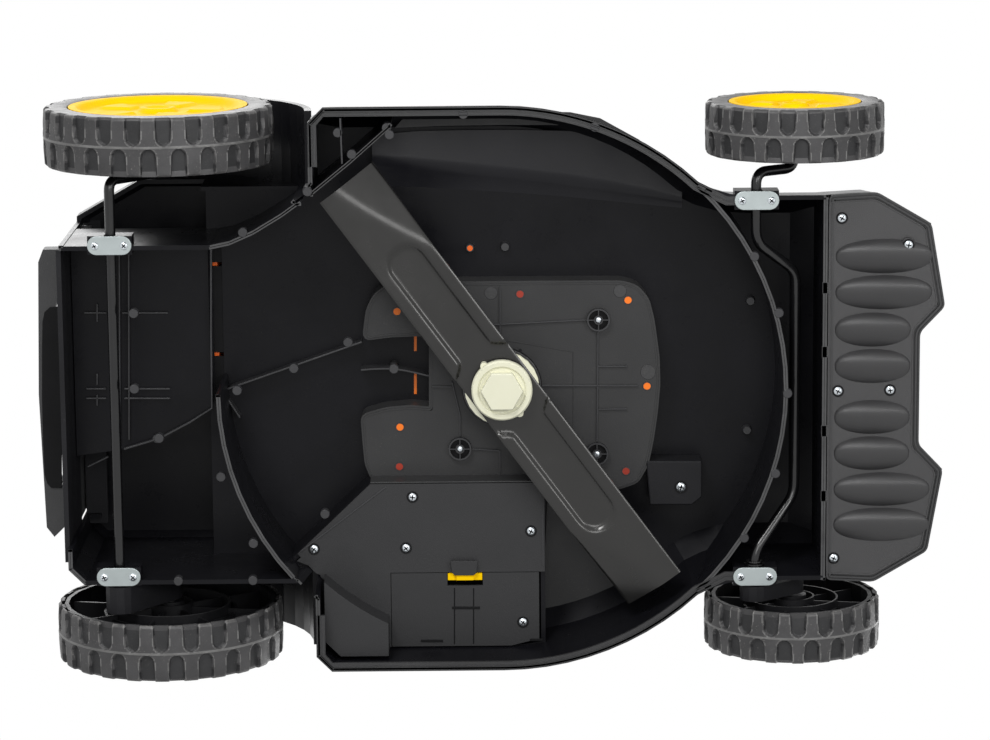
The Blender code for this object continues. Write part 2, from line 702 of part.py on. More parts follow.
def deck_holes(shell):
    """Rod grooves, shaft hole, slot, flap's room and the seat of the ridged front plate."""
    groove = ROD_R + GAP
    width = max(REAR_INNER_Y, FRONT_INNER_LEFT_Y)
    clear = FRONT_CLAMP_Y - CLAMP_W
    for x, y0, y1 in ((REAR_ROD_X, -width, width), (FRONT_ROD_X, -width, -clear), (FRONT_ROD_X, clear, width)):
        notch = arc((x, ROD_Z), groove, 0.0, 180.0, 8) + [(x - groove, 0.0), (x + groove, 0.0)]
        shell = cut(shell, prism_y(notch, y0, y1))
    slot_x = REAR_FRONT_X + 0.0005
    slot = box(slot_x, slot_x + SLOT_W, TUNNEL_Y + BEYOND, TUNNEL_Y + BEYOND + SLOT_L,
               CHUTE_Z - BEYOND, ROOF_Z + BEYOND)
    seat = box(NOSE_PLATE_X - GAP, NOSE_X + BEYOND, -SKIRT_R, SKIRT_R, 0.0, RIM_Z + COVER_T + GAP)
    shaft = drum(SHAFT_HOLE_R, ROOF_Z - BEYOND, ROOF_Z + BEYOND, steps=ROUND_STEPS)
    barrel = FLAP_PIN_R + GAP + FLAP_BARREL
    flap_room = box(REAR_X - BEYOND, FLAP_AXIS_X + barrel + 6 * GAP, TUNNEL_Y + GAP, FLAP_LEFT_Y + FLAP_END_PLAY,
                    FLAP_AXIS_Z - barrel - BEYOND, REAR_TOP_Z + BEYOND)
    return cut(shell, slot, seat, shaft, flap_room)


# Pieces fixed to the deck
def motor_plate(frame):
    """Tray under the roof that carries the motor's lower bearing."""
    c = PLATE_CORNER
    plan = [(PLATE_REAR_X + c, PLATE_RIGHT_Y), (PLATE_FRONT_X - c, PLATE_RIGHT_Y),
            (PLATE_FRONT_X - c / 3, PLATE_RIGHT_Y + c * 2 / 3), (PLATE_FRONT_X, 0.0),
            (PLATE_FRONT_X - c / 3, PLATE_LEFT_Y - c / 5), (PLATE_FRONT_X - c, PLATE_LEFT_Y),
            (PLATE_REAR_X + c, PLATE_LEFT_Y), (PLATE_REAR_X + c / 3, PLATE_LEFT_Y - c / 2), (PLATE_REAR_X, 0.0),
            (PLATE_REAR_X + c / 3, PLATE_RIGHT_Y + c * 2 / 3)]
    top = ROOF_Z - WALL - GAP
    floor = PLATE_Z + PLATE_T
    tray = cut(prism(plan, PLATE_Z, top), prism(inset(plan, WALL), floor, top + BEYOND))
    tray = combine(tray, ring(HUB_HOLE_R - OVERLAP, SHAFT_HOLE_R + OVERLAP, PLATE_Z + OVERLAP / 2, top))
    vent_x = PLATE_REAR_X + WALL
    vent = [(vent_x, -VENT_W / 2), (vent_x + VENT_L, -VENT_W / 2), (vent_x + VENT_L, VENT_W * 0.45),
            (vent_x + VENT_L / 2, VENT_W * 0.3), (vent_x, VENT_W * 0.4)]
    tray = cut(tray, prism(vent, PLATE_Z - BEYOND, floor + GAP),
               drum(HUB_HOLE_R, PLATE_Z - BEYOND, top + BEYOND, steps=ROUND_STEPS))
    for x, y in MOTOR_SCREWS:
        tray = combine(tray, drum(BOSS_R, PLATE_Z - COVER_T, top, (x, y, 0.0)))
        tray = cut(tray, drum(SCREW_HOLE_R, PLATE_Z - BEYOND, top - PLATE_T, (x, y, 0.0)))
    return piece("motor_plate", tray, CHARCOAL, frame)


def bay_cover(frame):
    """Cover of the electronics bay, with the cut-out for the hatch."""
    plate = prism(inset(bay_outline(), GAP), BAY_Z, BAY_Z + COVER_T)
    inside = combine(chamber_form(2 * GAP), prism(inset(bay_outline(), WALL + 2 * GAP), 0.0, ROOF_Z))
    plate = combine(plate, inside, operation="INTERSECT")
    reach = CHAMBER_R - LEDGE_ROOM
    left = ARCH_WALL_X + OVERLAP + WALL + 3 * GAP
    right = HATCH_X - 0.002
    edge = SKIRT_R - WALL - BAY_EDGE - WALL - 2 * GAP
    angles = [math.degrees(math.acos(x / reach)) for x in (right, left)]
    step = arc((0.0, 0.0), reach, angles[0], angles[1], 5)
    ledge = anticlockwise(step + [(left, edge - REAR_CORNER), (left + REAR_CORNER, edge), (right, edge)])
    low = BAY_Z - LEDGE_DROP
    plate = combine(plate, prism(ledge, low, BAY_Z + OVERLAP))
    hatch_room = box(HATCH_X - HATCH_PLAY, BAY_FRONT_X + BEYOND, HATCH_Y - HATCH_PLAY, SKIRT_R, 0.0, ROOF_Z)
    hollow = prism(inset(ledge, COVER_T), low + COVER_T, BAY_Z + BEYOND)
    return piece("bay_cover", cut(plate, hollow, hatch_room), CHARCOAL, frame)


def hatch(frame):
    """Small hinged hatch in the bay cover, with its sprung latch."""
    top = BAY_Z + COVER_T
    x1, y1 = HATCH_X + HATCH_L, HATCH_Y + HATCH_W
    chamfer = 0.0055
    outline = [(HATCH_X, HATCH_Y), (x1, HATCH_Y), (x1, y1 - chamfer), (x1 - 4 * chamfer, y1), (HATCH_X, y1)]
    latch_x = HATCH_X + (HATCH_L - LATCH_L) / 2
    room = box(latch_x - HATCH_PLAY, latch_x + LATCH_L + HATCH_PLAY, HATCH_Y - BEYOND,
               HATCH_Y + LATCH_W + LATCH_TRAVEL + 2 * HATCH_PLAY, 0.0, ROOF_Z)
    axis = (0.0, y1 - COVER_T / 2, BAY_Z + COVER_T / 2)
    piece("hatch_panel", cut(prism(outline, BAY_Z, top), room), CHARCOAL, frame, axis)
    low = HATCH_Y + GAP
    latch = box(latch_x, latch_x + LATCH_L, low, low + LATCH_W, BAY_Z - COVER_T / 3, top)
    thumb = box(latch_x + LATCH_L / 4, latch_x + LATCH_L * 3 / 4, low + GAP, low + LATCH_W - GAP,
                BAY_Z - COVER_T, BAY_Z)
    piece("hatch_latch", combine(latch, thumb), YELLOW, frame, (latch_x + LATCH_L / 2, low, BAY_Z))


def front_plate(frame):
    """Ridged plate that closes the nose from below."""
    outline = mirrored(nose_half(NOSE_PLATE_X))
    plate = prism(outline, RIM_Z, RIM_Z + COVER_T)
    x0 = NOSE_PLATE_X + RIDGE_MARGIN
    for i in range(RIDGES):
        y = RIDGE_PITCH * (i - (RIDGES - 1) / 2)
        in_notch = abs(y) + RIDGE_W / 2 < NOSE_LOBE_Y
        x1 = NOSE_X - RIDGE_MARGIN - (NOSE_NOTCH if in_notch else 0.0)
        levels = []
        for t in (0.04, 0.2, 0.5, 0.8, 0.96):
            swell = math.sin(math.pi * t)
            x = x0 + (x1 - x0) * t
            half_w, depth = RIDGE_W / 2 * swell, RIDGE_H * swell
            levels.append([(x, y - half_w, RIM_Z + GAP), (x, y - half_w * 0.7, RIM_Z - depth * 0.7),
                           (x, y, RIM_Z - depth), (x, y + half_w * 0.7, RIM_Z - depth * 0.7),
                           (x, y + half_w, RIM_Z + GAP)])
        plate = combine(plate, loft(levels))
    return piece("front_plate", plate, CHARCOAL, frame)


def clamps(frame):
    """Four zinc plates that hold the rods in the deck's grooves."""
    names = ("rear_right_clamp", "rear_left_clamp", "front_right_clamp", "front_left_clamp")
    r = CLAMP_W / 2
    reach = CLAMP_L / 2 - r
    top = RIM_Z - GAP
    low = top - CLAMP_T
    head = [(0.0, low - 0.0012), (SCREW_R * 0.6, low - 0.0010), (SCREW_R, low + GAP), (0.0, low + GAP)]
    for name, (x, y) in zip(names, clamp_places()):
        plan = arc((x + reach, y), r, -90.0, 90.0, 6) + arc((x - reach, y), r, 90.0, 270.0, 6)
        plate = prism(plan, low, top)
        for side in (-1, 1):
            plate = combine(plate, turned(head, SMALL_STEPS, (x + side * CLAMP_SCREW_X, y, 0.0)))
        piece(name, plate, ZINC, frame)


def top_cover(frame):
    """Coloured shell over the motor, open below, with a seat for the vent cap."""
    x0, x1, w = REAR_FRONT_X + GAP, COVER_FRONT_X, COVER_HALF_W
    taper = w * 0.55
    plan = mirrored([(x0, w - 0.02), (x0 + 0.02, w), (x1 - 1.15 * taper, w), (x1 - taper * 0.43, w - taper * 0.4),
                     (x1, w - taper)])
    base = ROOF_Z + GAP
    knee, brow = COVER_H * 0.44, COVER_H * 0.88

    def form(d, low, high):
        levels = ((d, low), (d + 0.003, base + knee), (d + 0.022, base + brow - d), (d + 0.040, high))
        return loft([[(x, y, z) for x, y in inset(plan, depth)] for depth, z in levels])

    shell = cut(form(0.0, base, COVER_TOP_Z), form(COVER_T, base - BEYOND, COVER_TOP_Z - COVER_T))
    seat = VENT_HALF + GAP
    shell = cut(shell, box(-seat, seat, -seat, seat, COVER_TOP_Z - BEYOND, COVER_TOP_Z + BEYOND))
    return piece("top_cover", shell, ORANGE, frame)


def vent_cap(frame):
    """Black slotted cap in the top cover that lets the motor's air in."""
    half = VENT_HALF
    low = COVER_TOP_Z - COVER_T
    lip = half + VENT_LIP
    cap = combine(box(-half, half, -half, half, low, low + VENT_T),
                  box(-lip, lip, -lip, lip, COVER_TOP_Z + GAP, low + VENT_T))
    pitch = 2 * (half - VENT_MARGIN) / VENT_SLOTS
    for i in range(VENT_SLOTS):
        x = -half + VENT_MARGIN + pitch * (i + 0.5)
        cap = cut(cap, box(x - pitch * 0.28, x + pitch * 0.28, -half + VENT_MARGIN, half - VENT_MARGIN,
                           low - BEYOND, low + VENT_T + BEYOND))
    return piece("vent_cap", cap, CHARCOAL, frame)


def motor(frame):
    """Motor can with its base, end cap, stator, bearings, and the control board."""
    base, top = MOTOR_Z, MOTOR_TOP_Z
    sheet, seat = 0.004, BEARING_R + GAP
    low = base + sheet + LOWER_BEARING_H
    can = turned([(SHAFT_HOLE_R - GAP, base), (MOTOR_R + MOTOR_FLANGE, base),
                  (MOTOR_R + MOTOR_FLANGE, base + sheet), (MOTOR_R, base + sheet + 0.002),
                  (MOTOR_R, top - 0.006), (MOTOR_R - 0.006, top), (seat, top), (seat, top - BEARING_H),
                  (MOTOR_R - 0.008, top - BEARING_H), (MOTOR_R - MOTOR_WALL, top - BEARING_H - MOTOR_WALL),
                  (MOTOR_R - MOTOR_WALL, low), (seat, low), (seat, base + sheet),
                  (SHAFT_HOLE_R - GAP, base + sheet)])
    piece("motor_can", can, ZINC, frame)
    z0 = low + MOTOR_WALL
    piece("motor_stator", ring(ROTOR_R + 0.001, MOTOR_R - MOTOR_WALL - GAP, z0, z0 + ROTOR_H - sheet),
          CORE_STEEL, frame)
    bore = SHAFT_R + GAP
    piece("lower_bearing", ring(bore, BEARING_R, base + sheet + GAP, low), BARE_STEEL, frame)
    piece("upper_bearing", ring(bore, BEARING_R, top - BEARING_H, top), BARE_STEEL, frame)

    x0, y0 = BAY_REAR_X - 0.001, BAY_Y + 0.020
    leg_top = BAY_Z + 0.012
    board = box(x0, x0 + BOARD_L, y0, y0 + BOARD_W, leg_top, leg_top + BOARD_T)
    for share, r in ((0.17, 0.008), (0.46, 0.006), (0.79, 0.009)):
        at = (x0 + share * BOARD_L, y0 + BOARD_W / 2, 0.0)
        board = combine(board, drum(r, leg_top + BOARD_T / 2, leg_top + 0.018, at))
    for share in (0.07, 0.93):
        at = (x0 + share * BOARD_L, y0 + 0.006, 0.0)
        board = combine(board, drum(0.003, BAY_Z + COVER_T + GAP, leg_top + BOARD_T / 2, at, steps=8))
    piece("control_board", board, BOARD_GREEN, frame)


# What turns with the blade
def spindle(frame):
    bottom = NUT_Z + 0.004
    blade_top = BLADE_Z + BLADE_T
    step = blade_top + ADAPTER_T + 0.001
    shaft = turned([(0.0, bottom), (STUD_R, bottom), (STUD_R, step), (SHAFT_R, step + 0.001),
                    (SHAFT_R, MOTOR_TOP_Z - 0.001), (0.0, MOTOR_TOP_Z - 0.001)])
    piece("motor_shaft", shaft, BARE_STEEL, frame)
    core_z = MOTOR_Z + 0.011
    clear = SHAFT_R + GAP
    piece("rotor_core", ring(clear, ROTOR_R, core_z, core_z + ROTOR_H), CORE_STEEL, frame)
    fan_z = blade_top + ADAPTER_T + GAP
    fan = turned([(clear, fan_z), (FAN_R, fan_z), (FAN_R, fan_z + 0.003), (0.012, fan_z + 0.006),
                  (0.0118, fan_z + FAN_H), (clear, fan_z + FAN_H)])
    for k in range(FAN_VANES):
        vane = box(0.0105, FAN_R - 0.001, -0.001, 0.001, fan_z + 0.001, fan_z + 0.6 * FAN_H)
        fan = combine(fan, spun(vane, 360.0 * k / FAN_VANES))
    piece("cooling_fan", fan, CHARCOAL, frame)
    hole = STUD_R + GAP
    adapter = ring(hole, ADAPTER_R, blade_top + GAP, blade_top + ADAPTER_T)
    for side in (-1, 1):
        at = (side * PEG_OFFSET * math.cos(BLADE_ANGLE), side * PEG_OFFSET * math.sin(BLADE_ANGLE), 0.0)
        adapter = combine(adapter, drum(PEG_R, BLADE_Z - 0.003, blade_top + OVERLAP, at))
    piece("blade_adapter", adapter, IVORY, frame)
    hexagon = arc((0.0, 0.0), NUT_HEX_R, 0.0, 300.0, 5)
    nut = combine(ring(hole, NUT_R, NUT_Z + 0.006, BLADE_Z - GAP), prism(hexagon, NUT_Z, NUT_Z + 0.007))
    nut = cut(nut, drum(hole, bottom - GAP, BLADE_Z + BEYOND, steps=ROUND_STEPS))
    piece("blade_nut", nut, IVORY, frame)
    piece("blade", blade_shape(), BLADE_STEEL, frame)


def blade_shape():
    """Flat bar with a raised wing behind the cutting edge at each end."""
    half, w = BLADE_L / 2, BLADE_W / 2
    wing = half - WING_L
    stations = [-half, -half + 0.030, -half + 0.055, -wing, -0.070, 0.070, wing, half - 0.055, half - 0.030, half]
    levels = []
    for s in stations:
        rise = WING_RISE * min(1.0, 1.6 * max(0.0, (abs(s) - wing) / WING_L))
        back = 1 if s > 0 else -1
        row = [(s, v, BLADE_Z + rise * max(0.0, back * v / w) ** 1.5) for v in (-w, -w / 3, w / 3, w)]
        levels.append(row + [(x, y, z + BLADE_T) for x, y, z in reversed(row)])
    bar = cut(loft(levels), drum(STUD_R + GAP, 0.0, ROOF_Z, steps=ROUND_STEPS))
    for side in (-1, 1):
        bar = cut(bar, drum(PEG_R + GAP, 0.0, ROOF_Z, (side * PEG_OFFSET, 0.0, 0.0)))
    return spun(bar, math.degrees(BLADE_ANGLE))


# Axles and wheels
def rear_axle(frame):
    axis = (REAR_ROD_X, 0.0, ROD_Z)
    crank_y = -REAR_INNER_Y + 2 * ROD_R
    end = -REAR_INNER_Y - REAR_TYRE_W + 0.012
    arm_y = REAR_HALF_W + 0.002
    path = rounded_path([(REAR_ROD_X, arm_y + 0.016, ROD_Z), (REAR_ROD_X, crank_y, ROD_Z),
                         (REAR_WHEEL_X, crank_y, REAR_TYRE_R), (REAR_WHEEL_X, end, REAR_TYRE_R)], 2 * ROD_R)
    piece("rear_axle", tube(path, ROD_R), BLACK_STEEL, frame, axis)
    crank_arm("rear", frame, axis, (REAR_WHEEL_X, REAR_TYRE_R), arm_y, REAR_INNER_Y, REAR_TYRE_W)


def front_axle(frame):
    axis = (FRONT_ROD_X, 0.0, ROD_Z)
    bend_z = ROD_Z + FRONT_BEND_RISE
    crank_y = FRONT_INNER_RIGHT_Y + 3 * ROD_R
    end = FRONT_INNER_RIGHT_Y - FRONT_TYRE_W + 0.012
    arm_y = FRONT_CLAMP_Y + CLAMP_W / 2 + 3 * GAP
    clear = FRONT_CLAMP_Y - CLAMP_W / 2 - 0.010
    path = rounded_path([(FRONT_ROD_X, arm_y + 0.0105, ROD_Z), (FRONT_ROD_X, clear, ROD_Z),
                         (FRONT_BEND_X, FRONT_BEND_Y, bend_z), (FRONT_BEND_X, -FRONT_BEND_Y - 0.010, bend_z),
                         (FRONT_ROD_X, -clear, ROD_Z), (FRONT_ROD_X, crank_y, ROD_Z),
                         (FRONT_WHEEL_X, crank_y, FRONT_TYRE_R), (FRONT_WHEEL_X, end, FRONT_TYRE_R)],
                        2.5 * ROD_R)
    piece("front_axle", tube(path, ROD_R), BLACK_STEEL, frame, axis)
    crank_arm("front", frame, axis, (FRONT_WHEEL_X, FRONT_TYRE_R), arm_y, FRONT_INNER_LEFT_Y, FRONT_TYRE_W)


def crank_arm(end_name, frame, axis, hub, inner_y, tyre_y, tyre_w):
    """Plastic arm on a rod's left end, which carries the wheel's stub axle."""
    x0, _, z0 = axis
    x1, z1 = hub
    outer_y = tyre_y - 0.001
    reach = Vector((x1 - x0, z1 - z0))
    turn = math.degrees(math.atan2(reach.y, reach.x))
    plan = arc((x0, z0), ARM_R, turn + 90.0, turn + 270.0, 6)
    plan += arc((x1, z1), ARM_END_R, turn - 90.0, turn + 90.0, 6)
    hole = ROD_R + GAP
    rod_end = inner_y + 0.6 * (outer_y - inner_y)
    if end_name == "rear":
        rod_end = inner_y + 0.0165
    stub_seat = outer_y - 0.0105
    arm = cut(prism_y(plan, inner_y, outer_y),
              drum(hole, inner_y - BEYOND, max(rod_end, inner_y + 0.0110), (x0, 0.0, z0), "Y"),
              drum(hole, stub_seat, outer_y + BEYOND, (x1, 0.0, z1), "Y"))
    piece("%s_crank_arm" % end_name, arm, CHARCOAL, frame, axis)
    stub = drum(ROD_R, stub_seat + GAP, tyre_y + tyre_w - 0.012, (x1, 0.0, z1), "Y")
    piece("%s_stub_axle" % end_name, stub, BARE_STEEL, frame, (x1, 0.0, z1))


def wheel(name, hub, inner_y, width, radius, cap_r, side, frame):
    """Tyre, ribbed wheel body and hub cap; the axis runs along Y."""
    x, z = hub
    at = (x, inner_y, z)

    def band(profile):
        return turned([(r, side * h) for r, h in profile], WHEEL_STEPS, at, "Y", True)

    drum_in = radius - TYRE_T
    c = TYRE_CHAMFER
    inside = width - CAP_DEPTH
    lip_r = cap_r + 0.004
    tyre = band([(drum_in, 0.0), (radius - c / 2, 0.0), (radius, c), (radius, width - c),
                 (radius - c / 2, width), (lip_r, width), (lip_r, inside), (drum_in, inside)])
    piece("%s_tyre" % name, tyre, TREAD_GREY, frame, (x, 0.0, z))
    bore = ROD_R + AXLE_CLEAR
    web = width - WEB_DEPTH
    rim = drum_in - GAP
    mid = cap_r * 0.80
    face = 0.001
    body = band([(bore, face), (HUB_R, face), (HUB_R, web), (mid - RIB_T, web), (mid - RIB_T, 0.009),
                 (mid, 0.009), (mid, web), (rim - COVER_T, web), (rim - COVER_T, face), (rim, face),
                 (rim, inside - GAP), (rim - COVER_T, web + COVER_T), (HUB_R, web + COVER_T),
                 (bore, width - 0.012)])
    for k in range(WHEEL_RIBS):
        low, high = sorted((side * CAP_DEPTH, side * (web + face)))
        rib = box(HUB_R - face, rim - face, -RIB_T / 2, RIB_T / 2, low, high)
        spun(rib, 360.0 * (k + 0.25) / WHEEL_RIBS)
        bmesh.ops.rotate(rib, verts=rib.verts, matrix=Matrix.Rotation(-math.pi / 2, 3, "X"))
        bmesh.ops.translate(rib, verts=rib.verts, vec=at)
        body = combine(body, rib)
    piece("%s_wheel" % name, body, DECK_BLACK, frame, (x, 0.0, z))
    seat = inside + GAP
    edge = cap_r + 0.0035
    cap = band([(0.0, seat - 0.005), (cap_r - 0.010, seat - 0.005), (cap_r - 0.002, seat), (edge, seat),
                (edge, width), (cap_r, width + 0.001), (cap_r - 0.008, inside), (0.014, inside - 0.0015),
                (0.012, inside + 0.0015), (0.0, inside + 0.002)])
    piece("%s_hub_cap" % name, cap, YELLOW, frame, (x, 0.0, z))


def wheels(frame):
    rear = (REAR_WHEEL_X, REAR_TYRE_R)
    front = (FRONT_WHEEL_X, FRONT_TYRE_R)
    wheel("rear_right", rear, -REAR_INNER_Y, REAR_TYRE_W, REAR_TYRE_R, REAR_CAP_R, -1, frame)
    wheel("rear_left", rear, REAR_INNER_Y, REAR_TYRE_W, REAR_TYRE_R, REAR_CAP_R, 1, frame)
    wheel("front_right", front, FRONT_INNER_RIGHT_Y, FRONT_TYRE_W, FRONT_TYRE_R, FRONT_CAP_R, -1, frame)
    wheel("front_left", front, FRONT_INNER_LEFT_Y, FRONT_TYRE_W, FRONT_TYRE_R, FRONT_CAP_R, 1, frame)


def rear_flap(frame):
    """Discharge flap with its bow, hung on a pin below the rear edge of the roof."""
    axis = (FLAP_AXIS_X, 0.0, FLAP_AXIS_Z)
    back = FLAP_X - FLAP_T
    y0, y1 = FLAP_RIGHT_Y, FLAP_LEFT_Y
    leaf = box(back, FLAP_X, y0, y1, RIM_Z + FLAP_LOW, FLAP_AXIS_Z + 0.001)
    arm = box(back + 0.001, FLAP_AXIS_X, y0, y1, FLAP_AXIS_Z - 0.004, FLAP_AXIS_Z + 0.001)
    hole = FLAP_PIN_R + GAP
    leaf = combine(leaf, arm, drum(hole + FLAP_BARREL, y0, y1, axis, "Y"))
    leaf = cut(leaf, drum(hole, y0 - BEYOND, y1 + BEYOND, axis, "Y"))
    tip = back - BOW_REACH
    root = back + 0.001
    mid, half, hole_w = BOW_MID_Y, BOW_HALF_W, BOW_HOLE_HALF_W
    outline = [(root, mid - half), (root, mid + half - 0.020), (tip + 0.006, mid + half),
               (tip, mid + half - 0.008), (tip - BOW_SWELL, mid), (tip, mid - half + 0.010),
               (tip + 0.004, mid - half)]
    inner = tip + BOW_BAR
    opening = [(back + BEYOND, mid - hole_w), (back + BEYOND, mid + hole_w), (inner + 0.006, mid + hole_w),
               (inner + 0.001, mid + hole_w - 0.020), (inner, mid), (inner + 0.001, mid - hole_w + 0.020),
               (inner + 0.006, mid - hole_w)]
    bow = cut(prism(anticlockwise(outline), BOW_Z - BOW_H / 2, BOW_Z + BOW_H / 2),
              prism(anticlockwise(opening), BOW_Z - BOW_H, BOW_Z + BOW_H))
    piece("rear_flap", combine(leaf, bow), CHARCOAL, frame, axis)
    pin = drum(FLAP_PIN_R, TUNNEL_Y + 2 * GAP, FLAP_LEFT_Y + FLAP_END_PLAY - GAP, axis, "Y")
    piece("flap_pin", pin, BARE_STEEL, frame, axis)


# Folded push handle
def leg_points(side, rear_y, front_y, rear_x, front_x):
    return [(rear_x, side * rear_y, PIVOT_Z), (LEG_BEND_REAR_X, side * rear_y, PIVOT_Z),
            (LEG_BEND_FRONT_X, side * front_y, PIVOT_Z), (front_x, side * front_y, PIVOT_Z)]


def handle_bracket(name, side, frame):
    """Angle with an ear, and the bolt that a lower leg turns on."""
    at = (PIVOT_X, 0.0, PIVOT_Z)
    base = REAR_TOP_Z + GAP
    ear_y = LEG_REAR_Y - TUBE_R - EAR_SPACE
    foot = box(PIVOT_X - BRACKET_L / 2, PIVOT_X + BRACKET_L / 2, side * (ear_y - BRACKET_W), side * ear_y,
               base, base + BRACKET_T)
    ear = [(PIVOT_X - 0.45 * BRACKET_L, base), (PIVOT_X + 0.45 * BRACKET_L, base)]
    ear += arc((PIVOT_X, PIVOT_Z), EAR_R, 0.0, 180.0, 8)
    out = LEG_REAR_Y + TUBE_R + BOLT_PLAY
    bracket = combine(foot, prism_y(ear, side * (ear_y - BRACKET_T), side * ear_y),
                      drum(BOLT_R, side * (ear_y - 0.001), side * (out + 0.001), at, "Y"),
                      drum(BOLT_HEAD_R, side * out, side * (out + BOLT_HEAD_H), at, "Y"))
    piece(name, bracket, BLACK_STEEL, frame)


def elbow_knob(name, side, inner_leg_y, frame):
    """Bolt through a lower and an upper leg, with a lobed knob outside."""
    at = (ELBOW_X, 0.0, PIVOT_Z)
    inner = inner_leg_y - TUBE_R - BOLT_PLAY
    outer = LEG_FRONT_Y + TUBE_R + BOLT_PLAY
    knob = combine(drum(BOLT_R, side * inner, side * outer, at, "Y"),
                   drum(BOLT_NUT_R, side * (inner - BOLT_HEAD_H), side * (inner + GAP), at, "Y", 6),
                   drum(KNOB_R, side * (outer - GAP), side * (outer + KNOB_H), at, "Y", ROUND_STEPS))
    for k in range(KNOB_LOBES):
        a = 2.0 * math.pi * k / KNOB_LOBES
        spot = (ELBOW_X + 1.25 * KNOB_R * math.cos(a), 0.0, PIVOT_Z + 1.25 * KNOB_R * math.sin(a))
        knob = cut(knob, drum(KNOB_R * 0.42, side * (outer - BEYOND), side * (outer + KNOB_H + BEYOND),
                              spot, "Y", 8))
    piece(name, knob, CHARCOAL, frame, at)


def handle(frame):
    """Push handle in two halves, folded flat over the deck."""
    pivot = (PIVOT_X, 0.0, PIVOT_Z)
    elbow = (ELBOW_X, 0.0, PIVOT_Z)
    bolt_hole = BOLT_R + GAP
    upper_front_y = LEG_FRONT_Y - 2 * TUBE_R - LEG_SPACE
    upper_rear_y = LEG_REAR_Y - 2 * TUBE_R - LEG_SPACE
    front = ELBOW_X + LEG_END
    for name, side in (("right", -1), ("left", 1)):
        handle_bracket("%s_handle_bracket" % name, side, frame)
        points = leg_points(side, LEG_REAR_Y, LEG_FRONT_Y, PIVOT_X - LEG_END, front)
        leg = pipe(rounded_path(points, TUBE_BEND), TUBE_R, TUBE_WALL)
        for x, y in ((PIVOT_X, LEG_REAR_Y), (ELBOW_X, LEG_FRONT_Y)):
            leg = cut(leg, drum(bolt_hole, side * (y - 2 * TUBE_R), side * (y + 2 * TUBE_R),
                                (x, 0.0, PIVOT_Z), "Y"))
        piece("%s_lower_leg" % name, leg, BLACK_STEEL, frame, pivot)
        elbow_knob("%s_elbow_knob" % name, side, upper_front_y, frame)

    right = leg_points(-1, upper_rear_y, upper_front_y, BAR_X, front)
    left = leg_points(1, upper_rear_y, upper_front_y, BAR_X, front)
    bar = pipe(rounded_path(list(reversed(right)) + left, TUBE_BEND), TUBE_R, TUBE_WALL)
    for side in (-1, 1):
        bar = cut(bar, drum(bolt_hole, side * (upper_front_y - 2 * TUBE_R), side * (upper_front_y + 2 * TUBE_R),
                            (ELBOW_X, 0.0, PIVOT_Z), "Y"))
    piece("upper_handle", bar, BLACK_STEEL, frame, elbow)
    for name, side in (("right_grip", -1), ("left_grip", 1)):
        grip = ring(TUBE_R + GAP, GRIP_R, side * GRIP_Y, side * (GRIP_Y + GRIP_L), (BAR_X, 0.0, PIVOT_Z), "Y")
        piece(name, grip, FOAM, frame, elbow)


def controls(frame):
    """Switch box on the cross bar, its lock button and the bail lever."""
    x0, x1 = BOX_X, BOX_X + BOX_L
    z0, z1 = BOX_Z, BOX_Z + BOX_H
    c = BOX_CHAMFER
    plan = [(x0 + c, z0), (x1, z0), (x1, z1 - c), (x1 - c, z1), (x0 + 1.5 * c, z1), (x0, z1 - 1.5 * c),
            (x0, z0 + c)]
    housing = prism_y(plan, -BOX_HALF_W, BOX_HALF_W)
    bar = drum(TUBE_R + GAP, -2 * BOX_HALF_W, 2 * BOX_HALF_W, (BAR_X, 0.0, PIVOT_Z), "Y", ROUND_STEPS)
    seat = BUTTON_TRAVEL + BUTTON_SEAT
    hole = drum(BUTTON_R + GAP, z1 - seat, z1 + BEYOND, (BUTTON_X, 0.0, 0.0))
    socket = box(x1 - INLET_D, x1 + BEYOND, -INLET_W / 2, INLET_W / 2, INLET_Z, INLET_Z + INLET_H)
    housing = cut(housing, bar, hole, socket)
    for side in (-1, 1):
        housing = cut(housing, drum(BAIL_R + GAP, side * (BOX_HALF_W - BAIL_SEAT), side * (BOX_HALF_W + BEYOND),
                                    (BAIL_X, 0.0, BAIL_Z), "Y"))
    for i in range(INLET_PINS):
        y = INLET_PIN_PITCH * (i - (INLET_PINS - 1) / 2)
        pin_z = INLET_Z + 0.006
        housing = combine(housing, box(x1 - INLET_D - 0.001, x1 - COVER_T, y - INLET_PIN_W / 2,
                                       y + INLET_PIN_W / 2, pin_z, pin_z + INLET_PIN_H))
    piece("switch_box", housing, CHARCOAL, frame, (ELBOW_X, 0.0, PIVOT_Z))
    low = z1 - seat + BUTTON_TRAVEL + GAP
    top = z1 + BUTTON_PROUD
    button = turned([(0.0, low), (BUTTON_R, low), (BUTTON_R, top - 0.001), (BUTTON_R - 0.001, top), (0.0, top)],
                    SMALL_STEPS, (BUTTON_X, 0.0, 0.0))
    piece("lock_button", button, YELLOW, frame, (BUTTON_X, 0.0, z1))
    bow_x = BAIL_X + BAIL_ARM * math.cos(BAIL_REST)
    bow_z = BAIL_Z + BAIL_ARM * math.sin(BAIL_REST)
    end = BOX_HALF_W - BAIL_SEAT + 0.001
    points = [(BAIL_X, -end, BAIL_Z), (BAIL_X, -BAIL_HALF_W, BAIL_Z), (bow_x, -BAIL_HALF_W, bow_z),
              (bow_x, BAIL_HALF_W, bow_z), (BAIL_X, BAIL_HALF_W, BAIL_Z), (BAIL_X, end, BAIL_Z)]
    bail = tube(rounded_path(points, 0.010), BAIL_R)
    piece("bail_lever", bail, YELLOW, frame, (BAIL_X, 0.0, BAIL_Z))


